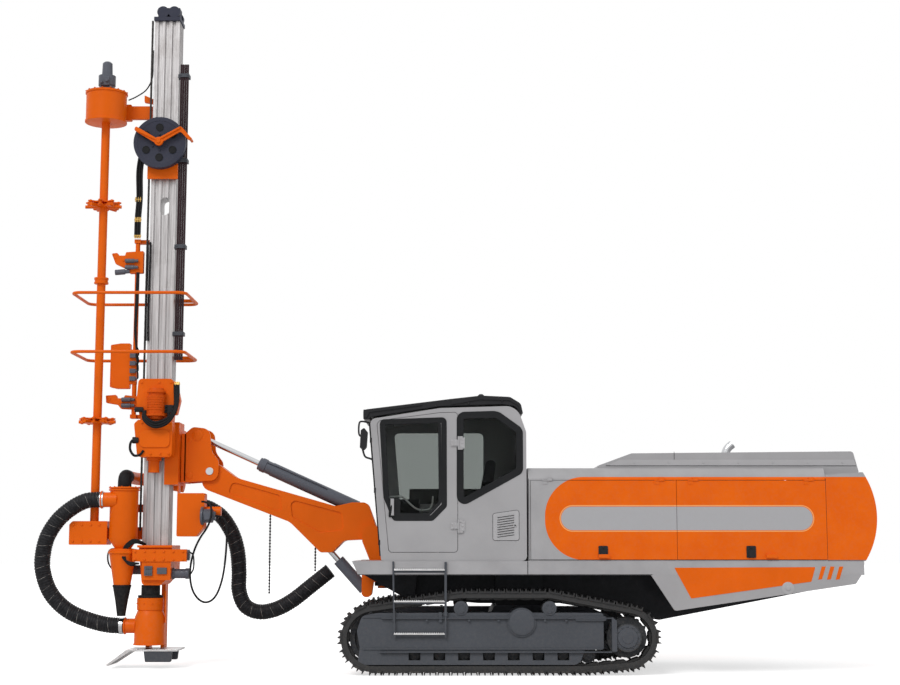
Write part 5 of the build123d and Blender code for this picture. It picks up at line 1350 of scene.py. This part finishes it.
loop_line.resolution_u = 12
loop_curve.bevel_depth = cord_diameter / 2
loop_curve.bevel_resolution = 4
loop_curve.materials.append(rubber.mat)
loop_piece = bpy.data.objects.new("drive_box_hose", loop_curve)
scene.collection.objects.link(loop_piece)
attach(loop_piece, "feed_cradle")

# Sleeve round the dump cylinder's barrel, open at both ends, and the pipe along it
sleeve = Piece("dump_barrel_sleeve", cylinder_grey, "dump_barrel", "dark_paint", bevel=0.002)
barrel_way = Vector((-0.9118, 0, 0.4106)).normalized()
sleeve_rows = ((0, 76), (6, 84), (1010, 84), (1014, 92), (1076, 92), (1082, 84), (1110, 82), (1114, 70))
sleeve.rings([Vector((-1402, 450, 2132)) + barrel_way * far for far, radius in sleeve_rows],
             [radius for far, radius in sleeve_rows], [barrel_way] * len(sleeve_rows), 40, caps=False)
sleeve.tube(((-1520, 372, 2260), (-1700, 366, 2345), (-2100, 366, 2520), (-2300, 378, 2600)), 10, 10, 6)
sleeve.done()


# Stage: pale floor and soft light

floor_glow = 0.62
world_light = 0.5


def stage_floor():
    """A pale floor that also glows a little towards the camera."""
    mesh = bpy.data.meshes.new("floor")
    size = 120
    mesh.from_pydata([(-size, -size, 0), (size, -size, 0), (size, size, 0), (-size, size, 0)], [],
                     [(0, 1, 2, 3)])
    floor = bpy.data.objects.new("floor", mesh)
    scene.collection.objects.link(floor)
    mat = bpy.data.materials.new("floor")
    mat.use_nodes = True
    tree = mat.node_tree
    tree.nodes.clear()
    out = tree.nodes.new("ShaderNodeOutputMaterial")
    diffuse = tree.nodes.new("ShaderNodeBsdfDiffuse")
    diffuse.inputs[0].default_value = (0.8, 0.8, 0.8, 1)
    glow = tree.nodes.new("ShaderNodeEmission")
    glow.inputs[0].default_value = (1, 1, 1, 1)
    path = tree.nodes.new("ShaderNodeLightPath")
    strength = tree.nodes.new("ShaderNodeMath")
    strength.operation = "MULTIPLY"
    strength.inputs[1].default_value = floor_glow
    tree.links.new(path.outputs["Is Camera Ray"], strength.inputs[0])
    tree.links.new(strength.outputs[0], glow.inputs[1])
    add = tree.nodes.new("ShaderNodeAddShader")
    tree.links.new(diffuse.outputs[0], add.inputs[0])
    tree.links.new(glow.outputs[0], add.inputs[1])
    tree.links.new(add.outputs[0], out.inputs[0])
    mesh.materials.append(mat)


def stage_light():
    """A soft white sky, seen as full white, and two suns."""
    world = bpy.data.worlds.new("world")
    scene.world = world
    world.use_nodes = True
    tree = world.node_tree
    tree.nodes.clear()
    out = tree.nodes.new("ShaderNodeOutputWorld")
    light = tree.nodes.new("ShaderNodeBackground")
    light.inputs[0].default_value = (1, 1, 1, 1)
    light.inputs[1].default_value = world_light
    seen = tree.nodes.new("ShaderNodeBackground")
    seen.inputs[0].default_value = (1, 1, 1, 1)
    seen.inputs[1].default_value = 1.0
    path = tree.nodes.new("ShaderNodeLightPath")
    first = tree.nodes.new("ShaderNodeMath")
    first.operation = "MAXIMUM"
    second = tree.nodes.new("ShaderNodeMath")
    second.operation = "MAXIMUM"
    tree.links.new(path.outputs["Is Camera Ray"], first.inputs[0])
    tree.links.new(path.outputs["Is Glossy Ray"], first.inputs[1])
    tree.links.new(first.outputs[0], second.inputs[0])
    tree.links.new(path.outputs["Is Transmission Ray"], second.inputs[1])
    mix = tree.nodes.new("ShaderNodeMixShader")
    tree.links.new(second.outputs[0], mix.inputs[0])
    tree.links.new(light.outputs[0], mix.inputs[1])
    tree.links.new(seen.outputs[0], mix.inputs[2])
    tree.links.new(mix.outputs[0], out.inputs[0])
    for name, turn, strength, spread in (
        ("key", (math.radians(48), 0, math.radians(-28)), 1.35, 25),
        ("fill", (math.radians(55), 0, math.radians(60)), 0.4, 60),
    ):
        lamp = bpy.data.lights.new(name, "SUN")
        lamp.energy = strength
        lamp.angle = math.radians(spread)
        lit = bpy.data.objects.new(name, lamp)
        lit.rotation_euler = turn
        scene.collection.objects.link(lit)


stage_floor()
stage_light()
